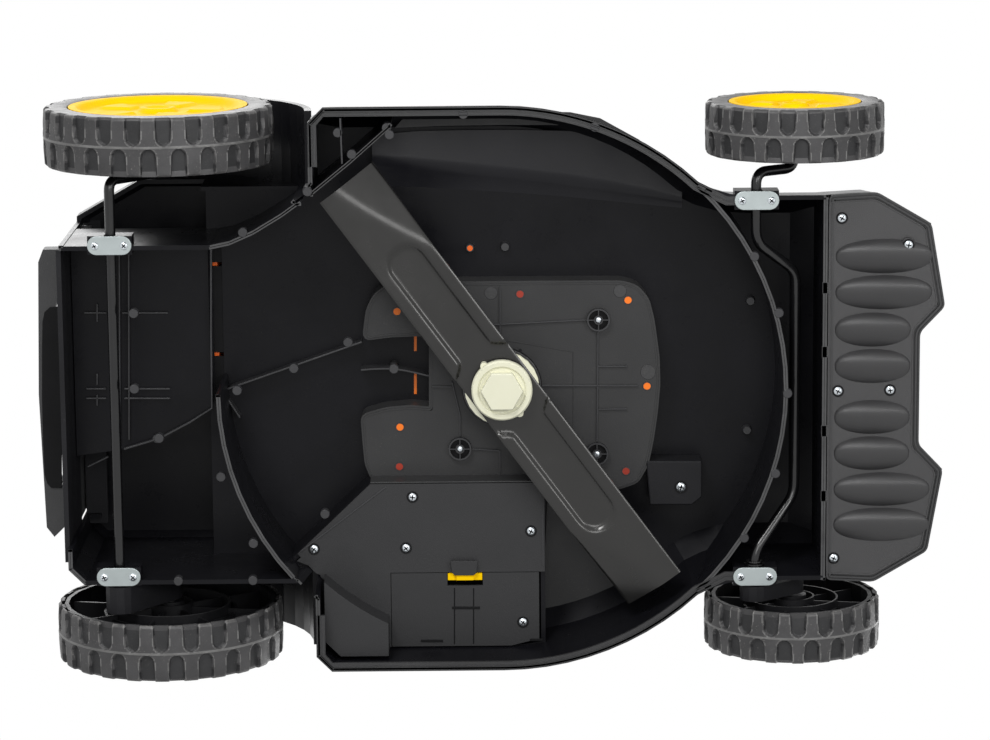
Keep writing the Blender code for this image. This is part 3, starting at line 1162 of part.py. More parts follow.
def build():
    clear_scene()
    frame = bpy.data.objects.new("mower_frame", None)
    frame.location = (BLADE_AXIS_X, 0.0, 0.0)
    bpy.context.scene.collection.objects.link(frame)
    for make in (deck_shell, motor_plate, bay_cover, hatch, front_plate, clamps, top_cover, vent_cap, motor,
                 spindle, rear_axle, front_axle, wheels, rear_flap, handle, controls):
        make(frame)


build()
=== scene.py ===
"""Electric rotary mower seen from below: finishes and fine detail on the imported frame.

Metres in the row's frame: +X forward, +Y to the mower's left, +Z up, wheels on z = 0.
The photograph looks up at the underside, so the camera stands below the floor, which
can be seen through from there. Pairs u, v are pixels of the photograph.
"""
from math import asin, cos, degrees, hypot, pi, radians, sin, sqrt

import bmesh
import bpy
from mathutils import Matrix, Vector
from mathutils.geometry import delaunay_2d_cdt


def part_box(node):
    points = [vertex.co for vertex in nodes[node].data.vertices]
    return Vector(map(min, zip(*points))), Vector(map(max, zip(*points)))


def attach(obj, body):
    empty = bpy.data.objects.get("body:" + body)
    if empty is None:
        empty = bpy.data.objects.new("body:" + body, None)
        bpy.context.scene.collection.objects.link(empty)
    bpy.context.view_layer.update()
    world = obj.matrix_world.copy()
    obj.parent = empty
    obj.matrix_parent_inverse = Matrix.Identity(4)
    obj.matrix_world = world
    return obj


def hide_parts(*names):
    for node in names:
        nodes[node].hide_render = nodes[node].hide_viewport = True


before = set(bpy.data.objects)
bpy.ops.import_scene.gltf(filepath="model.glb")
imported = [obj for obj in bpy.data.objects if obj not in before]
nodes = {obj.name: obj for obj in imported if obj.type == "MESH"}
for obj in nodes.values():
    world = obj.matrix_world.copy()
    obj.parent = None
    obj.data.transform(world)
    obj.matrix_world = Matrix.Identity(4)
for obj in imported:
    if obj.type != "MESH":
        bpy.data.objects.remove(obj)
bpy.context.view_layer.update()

CORNERS = ("rear_right", "rear_left", "front_right", "front_left")
AXIS_X = sum(corner[0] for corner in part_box("motor_shaft")) / 2     # the blade's axis
MM = 0.001
TURN = 2.0 * pi

# Heights of the faces that carry details.
RIM_Z = 0.038        # nose plate
ROD_Z = 0.046        # centre line of both rods
COVER_Z = 0.077      # cover of the electronics
TRAY_Z = 0.1       # tray behind the blade
CHUTE_Z = 0.11      # discharge tunnel
ROOF_Z = 0.1245      # blade chamber
ROD_R = 0.004

# The camera, fitted to the photograph.
WIDTH, HEIGHT = 990.0, 740.0
FOCAL = 3640.0                       # in pixels
SENSOR = 36.0
DISTANCE = 2.8
TILT = radians(10.8)
ROLL = radians(-0.5)
AIM = Vector((AXIS_X, 0.0, 0.035))   # seen at this pixel
AIM_PIXEL = (502.0, 393.0)

LOOK = Vector((0.0, sin(TILT), cos(TILT)))
_across = Vector((1.0, 0.0, 0.0))
_down = Vector((0.0, cos(TILT), -sin(TILT)))
RIGHT = _across * cos(ROLL) - _down * sin(ROLL)
DOWN = _across * sin(ROLL) + _down * cos(ROLL)
EYE = (AIM - LOOK * DISTANCE - RIGHT * ((AIM_PIXEL[0] - WIDTH / 2) * DISTANCE / FOCAL)
       - DOWN * ((AIM_PIXEL[1] - HEIGHT / 2) * DISTANCE / FOCAL))


def seen(u, v, z):
    """Point at height z that the camera sees at a pixel."""
    ray = LOOK + RIGHT * ((u - WIDTH / 2) / FOCAL) + DOWN * ((v - HEIGHT / 2) / FOCAL)
    return EYE + ray * ((z - EYE.z) / ray.z)


def seen_plan(pixels, z):
    """Places seen from above of pixels at height z."""
    return [tuple(seen(u, v, z)[:2]) for u, v in pixels]


def placed(name, data):
    """New object in the scene."""
    obj = bpy.data.objects.new(name, data)
    bpy.context.scene.collection.objects.link(obj)
    return obj


def set_camera():
    data = bpy.data.cameras.new("camera")
    data.sensor_fit = "HORIZONTAL"
    data.sensor_width = SENSOR
    data.lens = FOCAL / WIDTH * SENSOR
    data.clip_end = 50.0
    cam = placed("camera", data)
    turn = Matrix((RIGHT, -DOWN, -LOOK)).transposed()
    cam.matrix_world = Matrix.Translation(EYE) @ turn.to_4x4()
    bpy.context.scene.camera = cam


# Materials
class Nodes:
    """Short names for building the node tree of a material or a world."""

    def __init__(self, owner):
        owner.use_nodes = True
        self.tree = owner.node_tree

    def add(self, kind, **values):
        """New node; a value is one of its settings or, by its name, one of its inputs."""
        node = self.tree.nodes.new(kind)
        for key, value in values.items():
            if hasattr(node, key):
                setattr(node, key, value)
            else:
                node.inputs[key.replace("_", " ")].default_value = value
        return node

    def feed(self, socket, value):
        """Gives a socket an output, a colour or a number."""
        if hasattr(value, "is_linked"):
            self.tree.links.new(value, socket)
        else:
            socket.default_value = (*value, 1.0) if isinstance(value, tuple) else value

    def noise(self, scale, detail=3.0, rough=0.55, stretch=None):
        node = self.add("ShaderNodeTexNoise", Scale=scale, Detail=detail, Roughness=rough)
        source = self.coord
        if stretch:
            mapping = self.add("ShaderNodeMapping", Scale=stretch)
            self.feed(mapping.inputs["Vector"], self.coord)
            source = mapping.outputs["Vector"]
        self.feed(node.inputs["Vector"], source)
        return node.outputs["Fac"]

    def ramp(self, source, low, high, a=0.0, b=1.0):
        node = self.add("ShaderNodeMapRange", From_Min=low, From_Max=high, To_Min=a, To_Max=b)
        self.feed(node.inputs["Value"], source)
        return node.outputs["Result"]

    def mix(self, factor, a, b):
        node = self.add("ShaderNodeMix", data_type="RGBA")
        colours = [s for s in node.inputs if s.type == "RGBA"]
        for socket, value in zip([node.inputs["Factor"]] + colours, (factor, a, b)):
            self.feed(socket, value)
        return [s for s in node.outputs if s.type == "RGBA"][0]

    def math(self, operation, a, b):
        node = self.add("ShaderNodeMath", operation=operation)
        self.feed(node.inputs[0], a)
        self.feed(node.inputs[1], b)
        return node.outputs[0]

    def mul(self, a, b):
        return self.math("MULTIPLY", a, b)

    def shade(self, output, factor, a, b):
        """Sends a mix of two shaders to the tree's output."""
        node = self.add("ShaderNodeMixShader")
        for socket, value in zip(node.inputs, (factor, a, b)):
            self.feed(socket, value)
        self.feed(self.tree.nodes[output].inputs[0], node.outputs[0])


def grey(value):
    return (value, value, value)


def finish(name, colour, rough, metal=0.0, vary=0.2, tone=14.0, grain=700.0, bump=0.1,
           depth=0.0004, spec=0.5, edge_wear_and_highlight=0.0, worn_and_lit=grey(0.1), dust=0.0,
           dust_colour=(0.3, 0.28, 0.25), streak=None, coat=0.0, scuff=0.0):
    """Material with tone, sheen and grain that vary over the surface, edges made lighter (partly
    rubbing, partly painted highlight) and dust.
    """
    skin = bpy.data.materials.new("%s_skin" % name)
    n = Nodes(skin)
    n.coord = n.add("ShaderNodeTexCoord").outputs["Object"]
    dark = tuple(c * (1.0 - vary) for c in colour)
    light = tuple(min(1.0, c * (1.0 + vary)) for c in colour)
    base = n.mix(n.ramp(n.noise(tone, 4.0, 0.6, streak), 0.3, 0.7), dark, light)
    if scuff > 0.0:
        scratches = n.noise(70.0, 6.0, 0.75, (1.0, 9.0, 3.0))
        base = n.mix(n.ramp(scratches, 0.64, 0.74, 0.0, scuff), base, worn_and_lit)
    # Lighter convex edges: rubbed edges, and on the tread a painted highlight along the lugs.
    if edge_wear_and_highlight > 0.0:
        point = n.add("ShaderNodeNewGeometry").outputs["Pointiness"]
        edges = n.mul(n.ramp(point, 0.515, 0.56), n.ramp(n.noise(120.0, 4.0), 0.35, 0.6))
        base = n.mix(n.mul(edges, edge_wear_and_highlight), base, worn_and_lit)
    if dust > 0.0:
        specks = n.ramp(n.noise(900.0, 2.0, 0.5), 0.67, 0.72)
        patches = n.ramp(n.noise(26.0, 5.0, 0.65), 0.45, 0.75, 0.1, 1.0)
        base = n.mix(n.mul(n.mul(specks, patches), min(1.0, dust * 2.0)), base, dust_colour)
        film = n.ramp(n.noise(240.0, 6.0, 0.75), 0.5, 0.8)
        base = n.mix(n.mul(n.mul(film, patches), dust * 0.3), base, dust_colour)
    sheen = n.ramp(n.noise(tone * 2.3, 5.0, 0.7, streak), 0.25, 0.75,
                   max(0.02, rough - 0.08), min(1.0, rough + 0.1))
    relief = n.add("ShaderNodeBump", Strength=bump, Distance=depth)
    n.feed(relief.inputs["Height"], n.noise(grain, 3.0, 0.6, streak))
    looks = {"Base Color": base, "Roughness": sheen, "Metallic": metal,
             "Specular IOR Level": spec, "Normal": relief.outputs["Normal"]}
    if coat > 0.0:
        looks.update({"Coat Weight": coat, "Coat Roughness": 0.15})
    for name, value in looks.items():
        n.feed(n.tree.nodes["Principled BSDF"].inputs[name], value)
    return skin


# Moulded plastics of the deck
DECK = finish("deck_plastic", (0.0052, 0.0052, 0.0066), 0.3, vary=0.25, bump=0.08, spec=0.13,
    dust=0.05, scuff=0.03)
DECK_MATT = finish("deck_matt", (0.01, 0.01, 0.0115), 0.5, bump=0.35, grain=1300.0, spec=0.16,
    dust=0.07, scuff=0.03, worn_and_lit=grey(0.12))
PLATE = finish("plate_plastic", (0.026, 0.026, 0.0265), 0.42, vary=0.14, bump=0.3, grain=1300.0,
    spec=0.28, dust=0.12, scuff=0.3)
NOSE = finish("nose_plastic", (0.027, 0.0265, 0.0275), 0.4, vary=0.06, bump=0.55, grain=1500.0,
    dust=0.03, scuff=0.05, worn_and_lit=grey(0.12))
COVER = finish("cover_matt", (0.0185, 0.0185, 0.0195), 0.52, vary=0.08, bump=0.35, grain=1500.0,
    spec=0.32, dust=0.04, scuff=0.05, worn_and_lit=grey(0.08))
FLAP = finish("flap_matt", (0.05, 0.05, 0.051), 0.52, vary=0.16, bump=0.5, grain=1100.0, spec=0.3,
    dust=0.15, scuff=0.06, worn_and_lit=grey(0.14))
SHELF = finish("shelf", (0.0075, 0.0075, 0.01), 0.34, spec=0.22, dust=0.04, scuff=0.08)
LINE = finish("rib_edge", (0.02, 0.02, 0.022), 0.4, bump=0.15, spec=0.45, dust=0.1, scuff=0.1,
    worn_and_lit=grey(0.16))
RIM = finish("rim", (0.024, 0.024, 0.025), 0.42, bump=0.35, grain=600.0, spec=0.45, dust=0.2,
    scuff=0.22, worn_and_lit=(0.17, 0.17, 0.165))
# Lighter beads on the walls' lower edges: painted highlight; their scuffs and dust are real.
EDGE = finish("edge_highlight_bead", (0.042, 0.042, 0.043), 0.34, vary=0.35, tone=40.0, bump=0.2, dust=0.15,
    scuff=0.35, worn_and_lit=(0.16, 0.16, 0.155))
# Near black for painted shade in hollows, grooves, slots and openings.
PAINTED_SHADE = finish("painted_recess_shade", (0.0025, 0.0025, 0.003), 0.6, vary=0.3, spec=0.15)
# Wheels
# The tread's lighter lug edges are a painted highlight as well as rubbing; the dust is real.
RUBBER = finish("tread", (0.043, 0.042, 0.043), 0.48, vary=0.34, tone=24.0, bump=0.4, grain=900.0,
    spec=0.4, edge_wear_and_highlight=0.9, worn_and_lit=(0.17, 0.165, 0.16), dust=0.55, dust_colour=(0.34, 0.32, 0.3))
# Lighter pocket lips and darker pocket floors: painted highlight on the rims and painted shade in
# the pockets; their dust is real.
TREAD_LIP_HIGHLIGHT = finish("tread_lip_highlight", (0.135, 0.133, 0.13), 0.42, vary=0.3, tone=60.0, bump=0.3,
    grain=900.0, spec=0.45, dust=0.55, dust_colour=(0.42, 0.4, 0.38))
TREAD_FLOOR_SHADE = finish("tread_floor_shade", (0.021, 0.021, 0.022), 0.5, vary=0.3, tone=40.0, bump=0.35,
    grain=900.0, spec=0.3, dust=0.3, dust_colour=(0.3, 0.28, 0.26))
WHEEL = finish("wheel_plastic", (0.007, 0.007, 0.008), 0.4, vary=0.25, bump=0.2, spec=0.22,
    dust=0.06)
# Coloured plastics
YELLOW = finish("yellow_plastic", (1.0, 0.6, 0.001), 0.55, vary=0.02, bump=0.05, spec=0.04)
IVORY = finish("ivory_plastic", (0.75, 0.74, 0.57), 0.42, vary=0.03, bump=0.12, spec=0.4, edge_wear_and_highlight=0.3,
    worn_and_lit=(0.8, 0.8, 0.66), scuff=0.02)
ORANGE = finish("orange_plastic", (0.84, 0.13, 0.004), 0.34, vary=0.06, spec=0.45)
# The cover's orange as seen through holes and slots, in a painted dim copy and a painted lit copy.
PAINTED_DIM_ORANGE = finish("painted_dim_orange", (0.3, 0.018, 0.002), 0.4, vary=0.25)
PAINTED_LIT_ORANGE = finish("lit_orange", (0.93, 0.19, 0.004), 0.4, vary=0.05)
FOAM = finish("foam", (0.018, 0.018, 0.019), 0.92, bump=0.8, grain=500.0, depth=0.0008, spec=0.2)
BOARD = finish("board", (0.015, 0.14, 0.06), 0.4)
# Metals
BLACK_STEEL = finish("black_rod", (0.005, 0.005, 0.0055), 0.2, vary=0.3, bump=0.05, spec=0.4,
    coat=0.12, scuff=0.04, worn_and_lit=grey(0.12))
BLADE = finish("blade_paint", (0.03, 0.0295, 0.0285), 0.23, metal=0.55, vary=0.05, tone=9.0,
    bump=0.05, grain=1500.0, spec=0.55, scuff=0.02, worn_and_lit=(0.2, 0.195, 0.19))
ZINC = finish("zinc", (0.37, 0.41, 0.41), 0.4, metal=0.55, vary=0.06, tone=60.0, bump=0.12,
    grain=500.0, scuff=0.1, worn_and_lit=(0.62, 0.66, 0.66))
SCREW = finish("screw", (0.6, 0.64, 0.67), 0.28, metal=0.85, vary=0.12, tone=200.0)
BARE = finish("bare_steel", (0.46, 0.46, 0.47), 0.3, metal=0.95, vary=0.15, bump=0.15,
    streak=(1.0, 1.0, 30.0))
CORE = finish("core_steel", (0.14, 0.12, 0.11), 0.5, metal=0.8, vary=0.25, streak=(1.0, 1.0, 60.0),
    bump=0.3)

LOOKS = [
    (DECK, "deck_shell"), (PLATE, "motor_plate"), (COVER, "bay_cover hatch_panel"),
    (NOSE, "front_plate"), (FLAP, "rear_flap"), (ORANGE, "top_cover"), (BOARD, "control_board"),
    (YELLOW, "hatch_latch lock_button bail_lever"), (IVORY, "blade_adapter blade_nut"),
    (BLADE, "blade"), (ZINC, "motor_can"), (CORE, "motor_stator rotor_core"),
    (BARE, "lower_bearing upper_bearing motor_shaft rear_stub_axle front_stub_axle flap_pin"),
    (DECK_MATT, "vent_cap cooling_fan rear_crank_arm front_crank_arm right_elbow_knob"
                " left_elbow_knob switch_box"),
    (BLACK_STEEL, "rear_axle front_axle right_handle_bracket left_handle_bracket right_lower_leg"
                  " left_lower_leg upper_handle"),
    (FOAM, "right_grip left_grip"),
]
for corner in CORNERS:
    LOOKS += [(ZINC, "%s_clamp" % corner), (RUBBER, "%s_tyre" % corner),
              (WHEEL, "%s_wheel" % corner), (YELLOW, "%s_hub_cap" % corner)]
for mat, names in LOOKS:
    for name in names.split():
        for slot in nodes[name].material_slots:
            slot.material = mat


# Shapes
def made(name, bm, mat, body="deck", bevel=0.0, segments=2, angle=35.0):
    """Makes a named piece from a mesh, which rides on a body."""
    bmesh.ops.recalc_face_normals(bm, faces=bm.faces)
    mesh = bpy.data.meshes.new(name)
    bm.to_mesh(mesh)
    bm.free()
    mesh.materials.append(mat)
    mesh.shade_smooth()
    mesh.set_sharp_from_angle(angle=radians(angle))
    obj = placed(name, mesh)
    if bevel > 0.0:
        mod = obj.modifiers.new("edges", "BEVEL")
        mod.width = bevel
        mod.segments = segments
        mod.limit_method = "ANGLE"
        mod.angle_limit = radians(angle)
        mod.harden_normals = True
    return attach(obj, body)


def weld(bm, dist=1e-7):
    bmesh.ops.remove_doubles(bm, verts=bm.verts, dist=dist)
    return bm


def loft_into(bm, levels, closed=False, caps=True, wrap=True):
    """Joins rings of points by faces; caps close the two ends."""
    rings = [[bm.verts.new(p) for p in level] for level in levels]
    count = len(rings[0])
    onward = rings[1:] + rings[:1] if closed else rings[1:]
    for low, high in zip(rings, onward):
        for i in range(count if wrap else count - 1):
            j = (i + 1) % count
            bm.faces.new((low[i], low[j], high[j], high[i]))
    if caps and not closed:
        bm.faces.new(list(reversed(rings[0])))
        bm.faces.new(rings[-1])
    return bm


def prism_into(bm, points, z0, z1):
    """Upright prism over an outline seen from above."""
    return loft_into(bm, [[(x, y, z0) for x, y in points], [(x, y, z1) for x, y in points]])


def rect(x0, x1, y0, y1):
    return [(x0, y0), (x1, y0), (x1, y1), (x0, y1)]


def bar_into(bm, a, b, width, z0, z1):
    """Straight bar between two points seen from above."""
    a, b = Vector(a[:2]), Vector(b[:2])
    along = (b - a).normalized()
    side = Vector((-along.y, along.x)) * (width / 2)
    outline = [tuple(a - side), tuple(b - side), tuple(b + side), tuple(a + side)]
    return prism_into(bm, outline, z0, z1)


def with_sides(path):
    """Each point of a path seen from above, with the direction to its left."""
    points = [Vector(p[:2]) for p in path]
    for before, here, after in zip(points[:1] + points, points, points[1:] + points[-1:]):
        along = (after - before).normalized()
        yield here, Vector((-along.y, along.x))


def strip_into(bm, path, width, z0, z1):
    """Bar of constant width along a path seen from above, such as a rib or a lip."""
    levels = []
    for p, left in with_sides(path):
        a, b = p - left * (width / 2), p + left * (width / 2)
        levels.append([(a.x, a.y, z0), (b.x, b.y, z0), (b.x, b.y, z1), (a.x, a.y, z1)])
    return loft_into(bm, levels)


def spun_into(bm, section, steps, at, axis="Z", flip=1.0, wrap=False):
    """Sweeps (radius, height) points about an axis through a point; section gives them at an
    angle, and flip turns their heights round."""
    levels = []
    for i in range(steps):
        a = TURN * i / steps
        level = []
        for r, h in section(a):
            p = (r * cos(a), r * sin(a), h * flip)
            if axis == "Y":
                p = (p[0], p[2], p[1])
            level.append((at[0] + p[0], at[1] + p[1], at[2] + p[2]))
        levels.append(level)
    return loft_into(bm, levels, closed=True, wrap=wrap)


def turned_into(bm, profile, steps, at, axis="Z", flip=1.0):
    """Turns (radius, height) points about an axis through a point."""
    return weld(spun_into(bm, lambda a: profile, steps, at, axis, flip))


def peg_into(bm, p, profile, steps=24):
    """Turns (radius, z) points about the upright line through a point."""
    return turned_into(bm, profile, steps, (p[0], p[1], 0.0))


def pegs(name, places, profile, mat=LINE, steps=24, body="deck", **edges):
    """Piece made of equal turned forms at one or more places."""
    bm = bmesh.new()
    for p in places:
        peg_into(bm, p, profile, steps)
    return made(name, bm, mat, body, **edges)


def sheet(name, outlines, z0, z1, mat, body="deck", **edges):
    """Piece made of one or more prisms between two heights."""
    bm = bmesh.new()
    for outline in outlines:
        prism_into(bm, outline, z0, z1)
    return made(name, bm, mat, body, **edges)


def pad_profile(z0, z1, chamfer=0.0004):
    """Side of a small round pad that stands down to z0."""
    return [(0.0, z0), (0.0032, z0), (0.0036, z0 + chamfer), (0.0036, z1)]


def arc(cx, cy, r, start, end, steps):
    angles = [radians(start + (end - start) * i / steps) for i in range(steps + 1)]
    return [(cx + r * cos(a), cy + r * sin(a)) for a in angles]


def corner_points(before, here, after, radius, share, steps):
    """Rounded corner that takes at most a share of the two sides beside it."""
    before, here, after = Vector(before), Vector(here), Vector(after)
    back, on = before - here, after - here
    reach = min(radius, share * back.length, share * on.length)
    a, b = here + back.normalized() * reach, here + on.normalized() * reach
    return [a * (1 - t) ** 2 + here * (2 * t * (1 - t)) + b * t * t
            for t in (i / steps for i in range(steps + 1))]


def rod(name, points, bend, body):
    """Round black bar along a path with rounded bends."""
    data = bpy.data.curves.new(name, "CURVE")
    data.dimensions = "3D"
    data.bevel_depth = ROD_R
    data.bevel_resolution = 6
    data.use_fill_caps = True
    path = [Vector(points[0])]
    for before, here, after in zip(points, points[1:], points[2:]):
        path += corner_points(before, here, after, bend, 0.49, 8)
    path.append(Vector(points[-1]))
    spline = data.splines.new("POLY")
    spline.points.add(len(path) - 1)
    for point, p in zip(spline.points, path):
        point.co = (*p, 1.0)
    spline.use_smooth = True
    data.materials.append(BLACK_STEEL)
    obj = placed(name, data)
    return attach(obj, body)


# Screws
screws = {}
PROUD = 0.0003       # how far a screw's seat stands below the face round it


def screw(p, z, turn, radius=0.0032, body="deck", seat_shadow=True):
    """Adds a cross-head screw that faces down; all the screws of a body are one piece."""
    heads, slots, seat_shadows = screws.setdefault(body, (bmesh.new(), bmesh.new(), bmesh.new()))
    x, y = p[:2]
    at = (x, y, z)
    dome = [(0.0, -0.0016), (radius * 0.45, -0.0015), (radius * 0.8, -0.0011), (radius, -0.0004),
            (radius, 0.0004)]
    turned_into(heads, dome, 20, at)
    # The cross is two dark bars: painted shade in the cross slot.
    for k in range(2):
        a = radians(turn + 90.0 * k)
        dx, dy = radius * 0.62 * cos(a), radius * 0.62 * sin(a)
        bar_into(slots, (x - dx, y - dy), (x + dx, y + dy), radius * 0.3, z - 0.00172, z - 0.001)
    # A dark ring round the head: painted shadow of its seat.
    if seat_shadow:
        inner, outer = radius * 1.02, radius * 1.42
        turned_into(seat_shadows, [(inner, 0.0002), (inner, -0.0003), (outer, -0.0003),
                              (outer, 0.0002)], 24, at)


def make_screws():
    for body, (heads, slots, seat_shadows) in screws.items():
        made("%s_screw_heads" % body, heads, SCREW, body)
        # Crosses and rings are in the painted shade colour.
        made("%s_screw_crosses" % body, slots, PAINTED_SHADE, body)
        made("%s_screw_seat_shades" % body, seat_shadows, PAINTED_SHADE, body)


# Wheels
EDGE_ROUND = 0.0022      # width of a tread's rounded shoulders
POCKET_HALF = 0.0062
POCKET_DEPTH = 0.0026


def smooth(t):
    t = max(0.0, min(1.0, t))
    return t * t * (3.0 - 2.0 * t)


def tread_height(a, h, width, pitch):
    """Relief of the tread at arc length a and distance h from the outer side."""
    best = -1.0
    long_side = 0.47 * width
    for edge, shift in ((h, 0.0), (width - h, pitch / 2)):
        half = POCKET_HALF - 0.0008 * smooth(edge / long_side)
        d = (a + shift) % pitch - pitch / 2
        flat = long_side - half
        best = max(best, half - (abs(d) if edge < flat else hypot(d, edge - flat)))
    if best <= -0.0013:
        return 0.0
    lip = smooth(1.0 - abs(best + 0.0006) / 0.0006) * 0.00034
    return lip - POCKET_DEPTH * smooth((best + 0.0002) / 0.0008)


def wheel_place(corner):
    """Hub, radius, width, inner side and outward direction of a wheel."""
    low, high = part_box("%s_tyre" % corner)
    hub = ((low[0] + high[0]) / 2, (low[2] + high[2]) / 2)
    inner_y, side = (low[1], 1.0) if corner.endswith("left") else (high[1], -1.0)
    return hub, (high[2] - low[2]) / 2, high[1] - low[1], inner_y, side


def tyre(corner, pockets, cap_r):
    """Tread drum with two staggered rows of U-shaped pockets."""
    (x, z), radius, width, inner_y, side = wheel_place(corner)
    rows = 48
    pitch = TURN * radius / pockets
    top = radius - 0.00045
    seat_r, seat_h = cap_r + 0.0042, width - 0.0062
    outer_side = [(radius - 0.006, seat_h), (seat_r, seat_h), (seat_r, width - 0.001),
                  (seat_r + 0.001, width), (radius - 0.005, width)]
    inner_side = [(radius - 0.003, 0.0), (radius - 0.0034, 0.004), (radius - 0.006, 0.012)]

    def crown(h):
        return 0.0006 * (2.0 * h / width - 1.0) ** 2

    def section(a):
        tread = []
        for k in range(rows + 1):
            h = width * (1.0 - k / rows)
            round_off = 0.0016 * (1.0 - smooth(min(h, width - h) / EDGE_ROUND)) ** 2
            relief = tread_height(a * radius, width - h, width, pitch)
            seam = 0.00025 * smooth(1.0 - abs(h - width / 2) / 0.0006)
            tread.append((top - round_off - crown(h) + relief + seam, h))
        return outer_side + tread + inner_side

    bm = spun_into(bmesh.new(), section, pockets * 26, (x, inner_y, z), "Y", side, wrap=True)
    # Lip faces take the painted highlight, faces deep in the pockets the painted shade.
    lip_slot, floor_slot = 1, 2
    for face in bm.faces:
        c = face.calc_center_median()
        h = abs(c.y - inner_y)
        height = hypot(c.x - x, c.z - z) - (top - crown(h))
        if EDGE_ROUND < h < width - EDGE_ROUND:
            if height > 0.00012:
                face.material_index = lip_slot
            elif -0.0035 < height < -0.0012:
                face.material_index = floor_slot
    obj = made("%s_tread" % corner, bm, RUBBER, "%s_roller" % corner, angle=60.0)
    obj.data.materials.append(TREAD_LIP_HIGHLIGHT)
    obj.data.materials.append(TREAD_FLOOR_SHADE)
    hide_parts("%s_tyre" % corner)


def hub_cap(corner, cap_r):
    """Dished yellow cap with a raised boss and embossed petals."""
    (x, z), _, width, inner_y, side = wheel_place(corner)
    rings = 40
    edge_r = cap_r + 0.0035

    def step(r, start, run):
        """Rises from 0 to 1 over a run of the cap's radius."""
        return smooth((r - cap_r * start) / (cap_r * run))

    def section(a):
        petal = smooth((cos(5.0 * a) - 0.05) / 0.35)
        level = []
        for k in range(rings + 1):
            r = edge_r * k / rings
            h = -0.005 + 0.005 * step(r, 0.86, 0.12)
            h += 0.0036 * (1.0 - step(r, 0.2, 0.05)) - 0.0018 * (1.0 - step(r, 0.11, 0.04))
            h += 0.0022 * petal * step(r, 0.34, 0.06) * (1.0 - step(r, 0.74, 0.06))
            level.append((r, h))
        return level + [(edge_r, -0.0045)]

    face = (x, inner_y + side * width, z)
    bm = weld(spun_into(bmesh.new(), section, 144, face, "Y", side))
    obj = made("%s_cap_face" % corner, bm, YELLOW, "%s_roller" % corner, angle=50.0)
    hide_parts("%s_hub_cap" % corner)


def wheels():
    for corner in CORNERS:
        pockets, cap_r = (24, 0.0655) if corner.startswith("rear") else (20, 0.047)
        tyre(corner, pockets, cap_r)
        hub_cap(corner, cap_r)


def wheel_rings():
    """Thin ring, its edge in a lighter colour as a painted highlight, and the hub's lip on the
    inner side of each wheel.
    """
    for corner in ("rear_left", "front_left", "rear_right", "front_right"):
        (x, z), _, _, inner_y, side = wheel_place(corner)
        at, body = (x, inner_y, z), "%s_roller" % corner
        r = 0.046 if corner.startswith("rear") else 0.035
        bm = bmesh.new()
        for radius, depth, start in ((r, 0.016, 0.003), (0.0165, 0.012, 0.0022)):
            end = start + depth
            turned_into(bm, [(radius, start), (radius + 0.0014, start), (radius + 0.0016, end),
                             (radius - 0.0002, end), (radius, start)], 72, at, "Y", side)
        made("%s_wheel_rings" % corner, bm, WHEEL, body)
        # The thin ring in the rim colour is a painted highlight on the ring's edge.
        bm = turned_into(bmesh.new(), [(r, 0.0028), (r + 0.0014, 0.0028), (r + 0.0014, 0.0033),
                                       (r, 0.0033)], 72, at, "Y", side)
        made("%s_wheel_ring_edge" % corner, bm, RIM, body)


# Blade and its hub
BLADE_ANGLE = radians(53.75)
BLADE_HALF, BLADE_W, BLADE_THICK = 0.1999, 0.025, 0.0035      # half length, half width
CHANNEL_END = 0.121                                           # where the channels round off
CHANNEL_W = 0.016


def blade():
    """Stamping with a channel along each arm and wings bent up behind the cutting edges."""
    z0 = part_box("blade")[0][2]
    across, along = 44, 190
    levels = []
    for i in range(along + 1):
        s = -BLADE_HALF + 2.0 * BLADE_HALF * i / along
        arm = abs(s)
        from_tip = BLADE_HALF - arm
        wing = smooth((0.1 - from_tip) / 0.03)
        back = 1.0 if s > 0 else -1.0
        room = CHANNEL_W + 0.014 * smooth((0.036 - arm) / 0.014)
        under, over = [], []
        for k in range(across + 1):
            v = -BLADE_W + 2.0 * BLADE_W * k / across
            beyond = back * v + 0.0078 - 0.32 * from_tip - 1.5 * from_tip ** 2
            rise = 0.22 * (beyond + hypot(beyond, 0.0035)) * wing
            if arm < CHANNEL_END:
                inside = room - abs(v)
            else:
                inside = CHANNEL_W - hypot(v, arm - CHANNEL_END)
            z = z0 + rise + 0.003 * smooth((inside + 0.0006) / 0.0042)
            edge = max(0.0, (abs(v) - (BLADE_W - 0.0012)) / 0.0012)
            under.append((s, v, z + 0.0008 * edge * edge))
            over.append((s, v, z + BLADE_THICK))
        levels.append(under + over[::-1])
    bm = loft_into(bmesh.new(), levels)
    bmesh.ops.rotate(bm, verts=bm.verts, matrix=Matrix.Rotation(BLADE_ANGLE, 3, "Z"))
    bmesh.ops.translate(bm, verts=bm.verts, vec=(AXIS_X, 0.0, 0.0))
    obj = made("blade_stamping", bm, BLADE, "spindle", angle=40.0)
    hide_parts("blade")


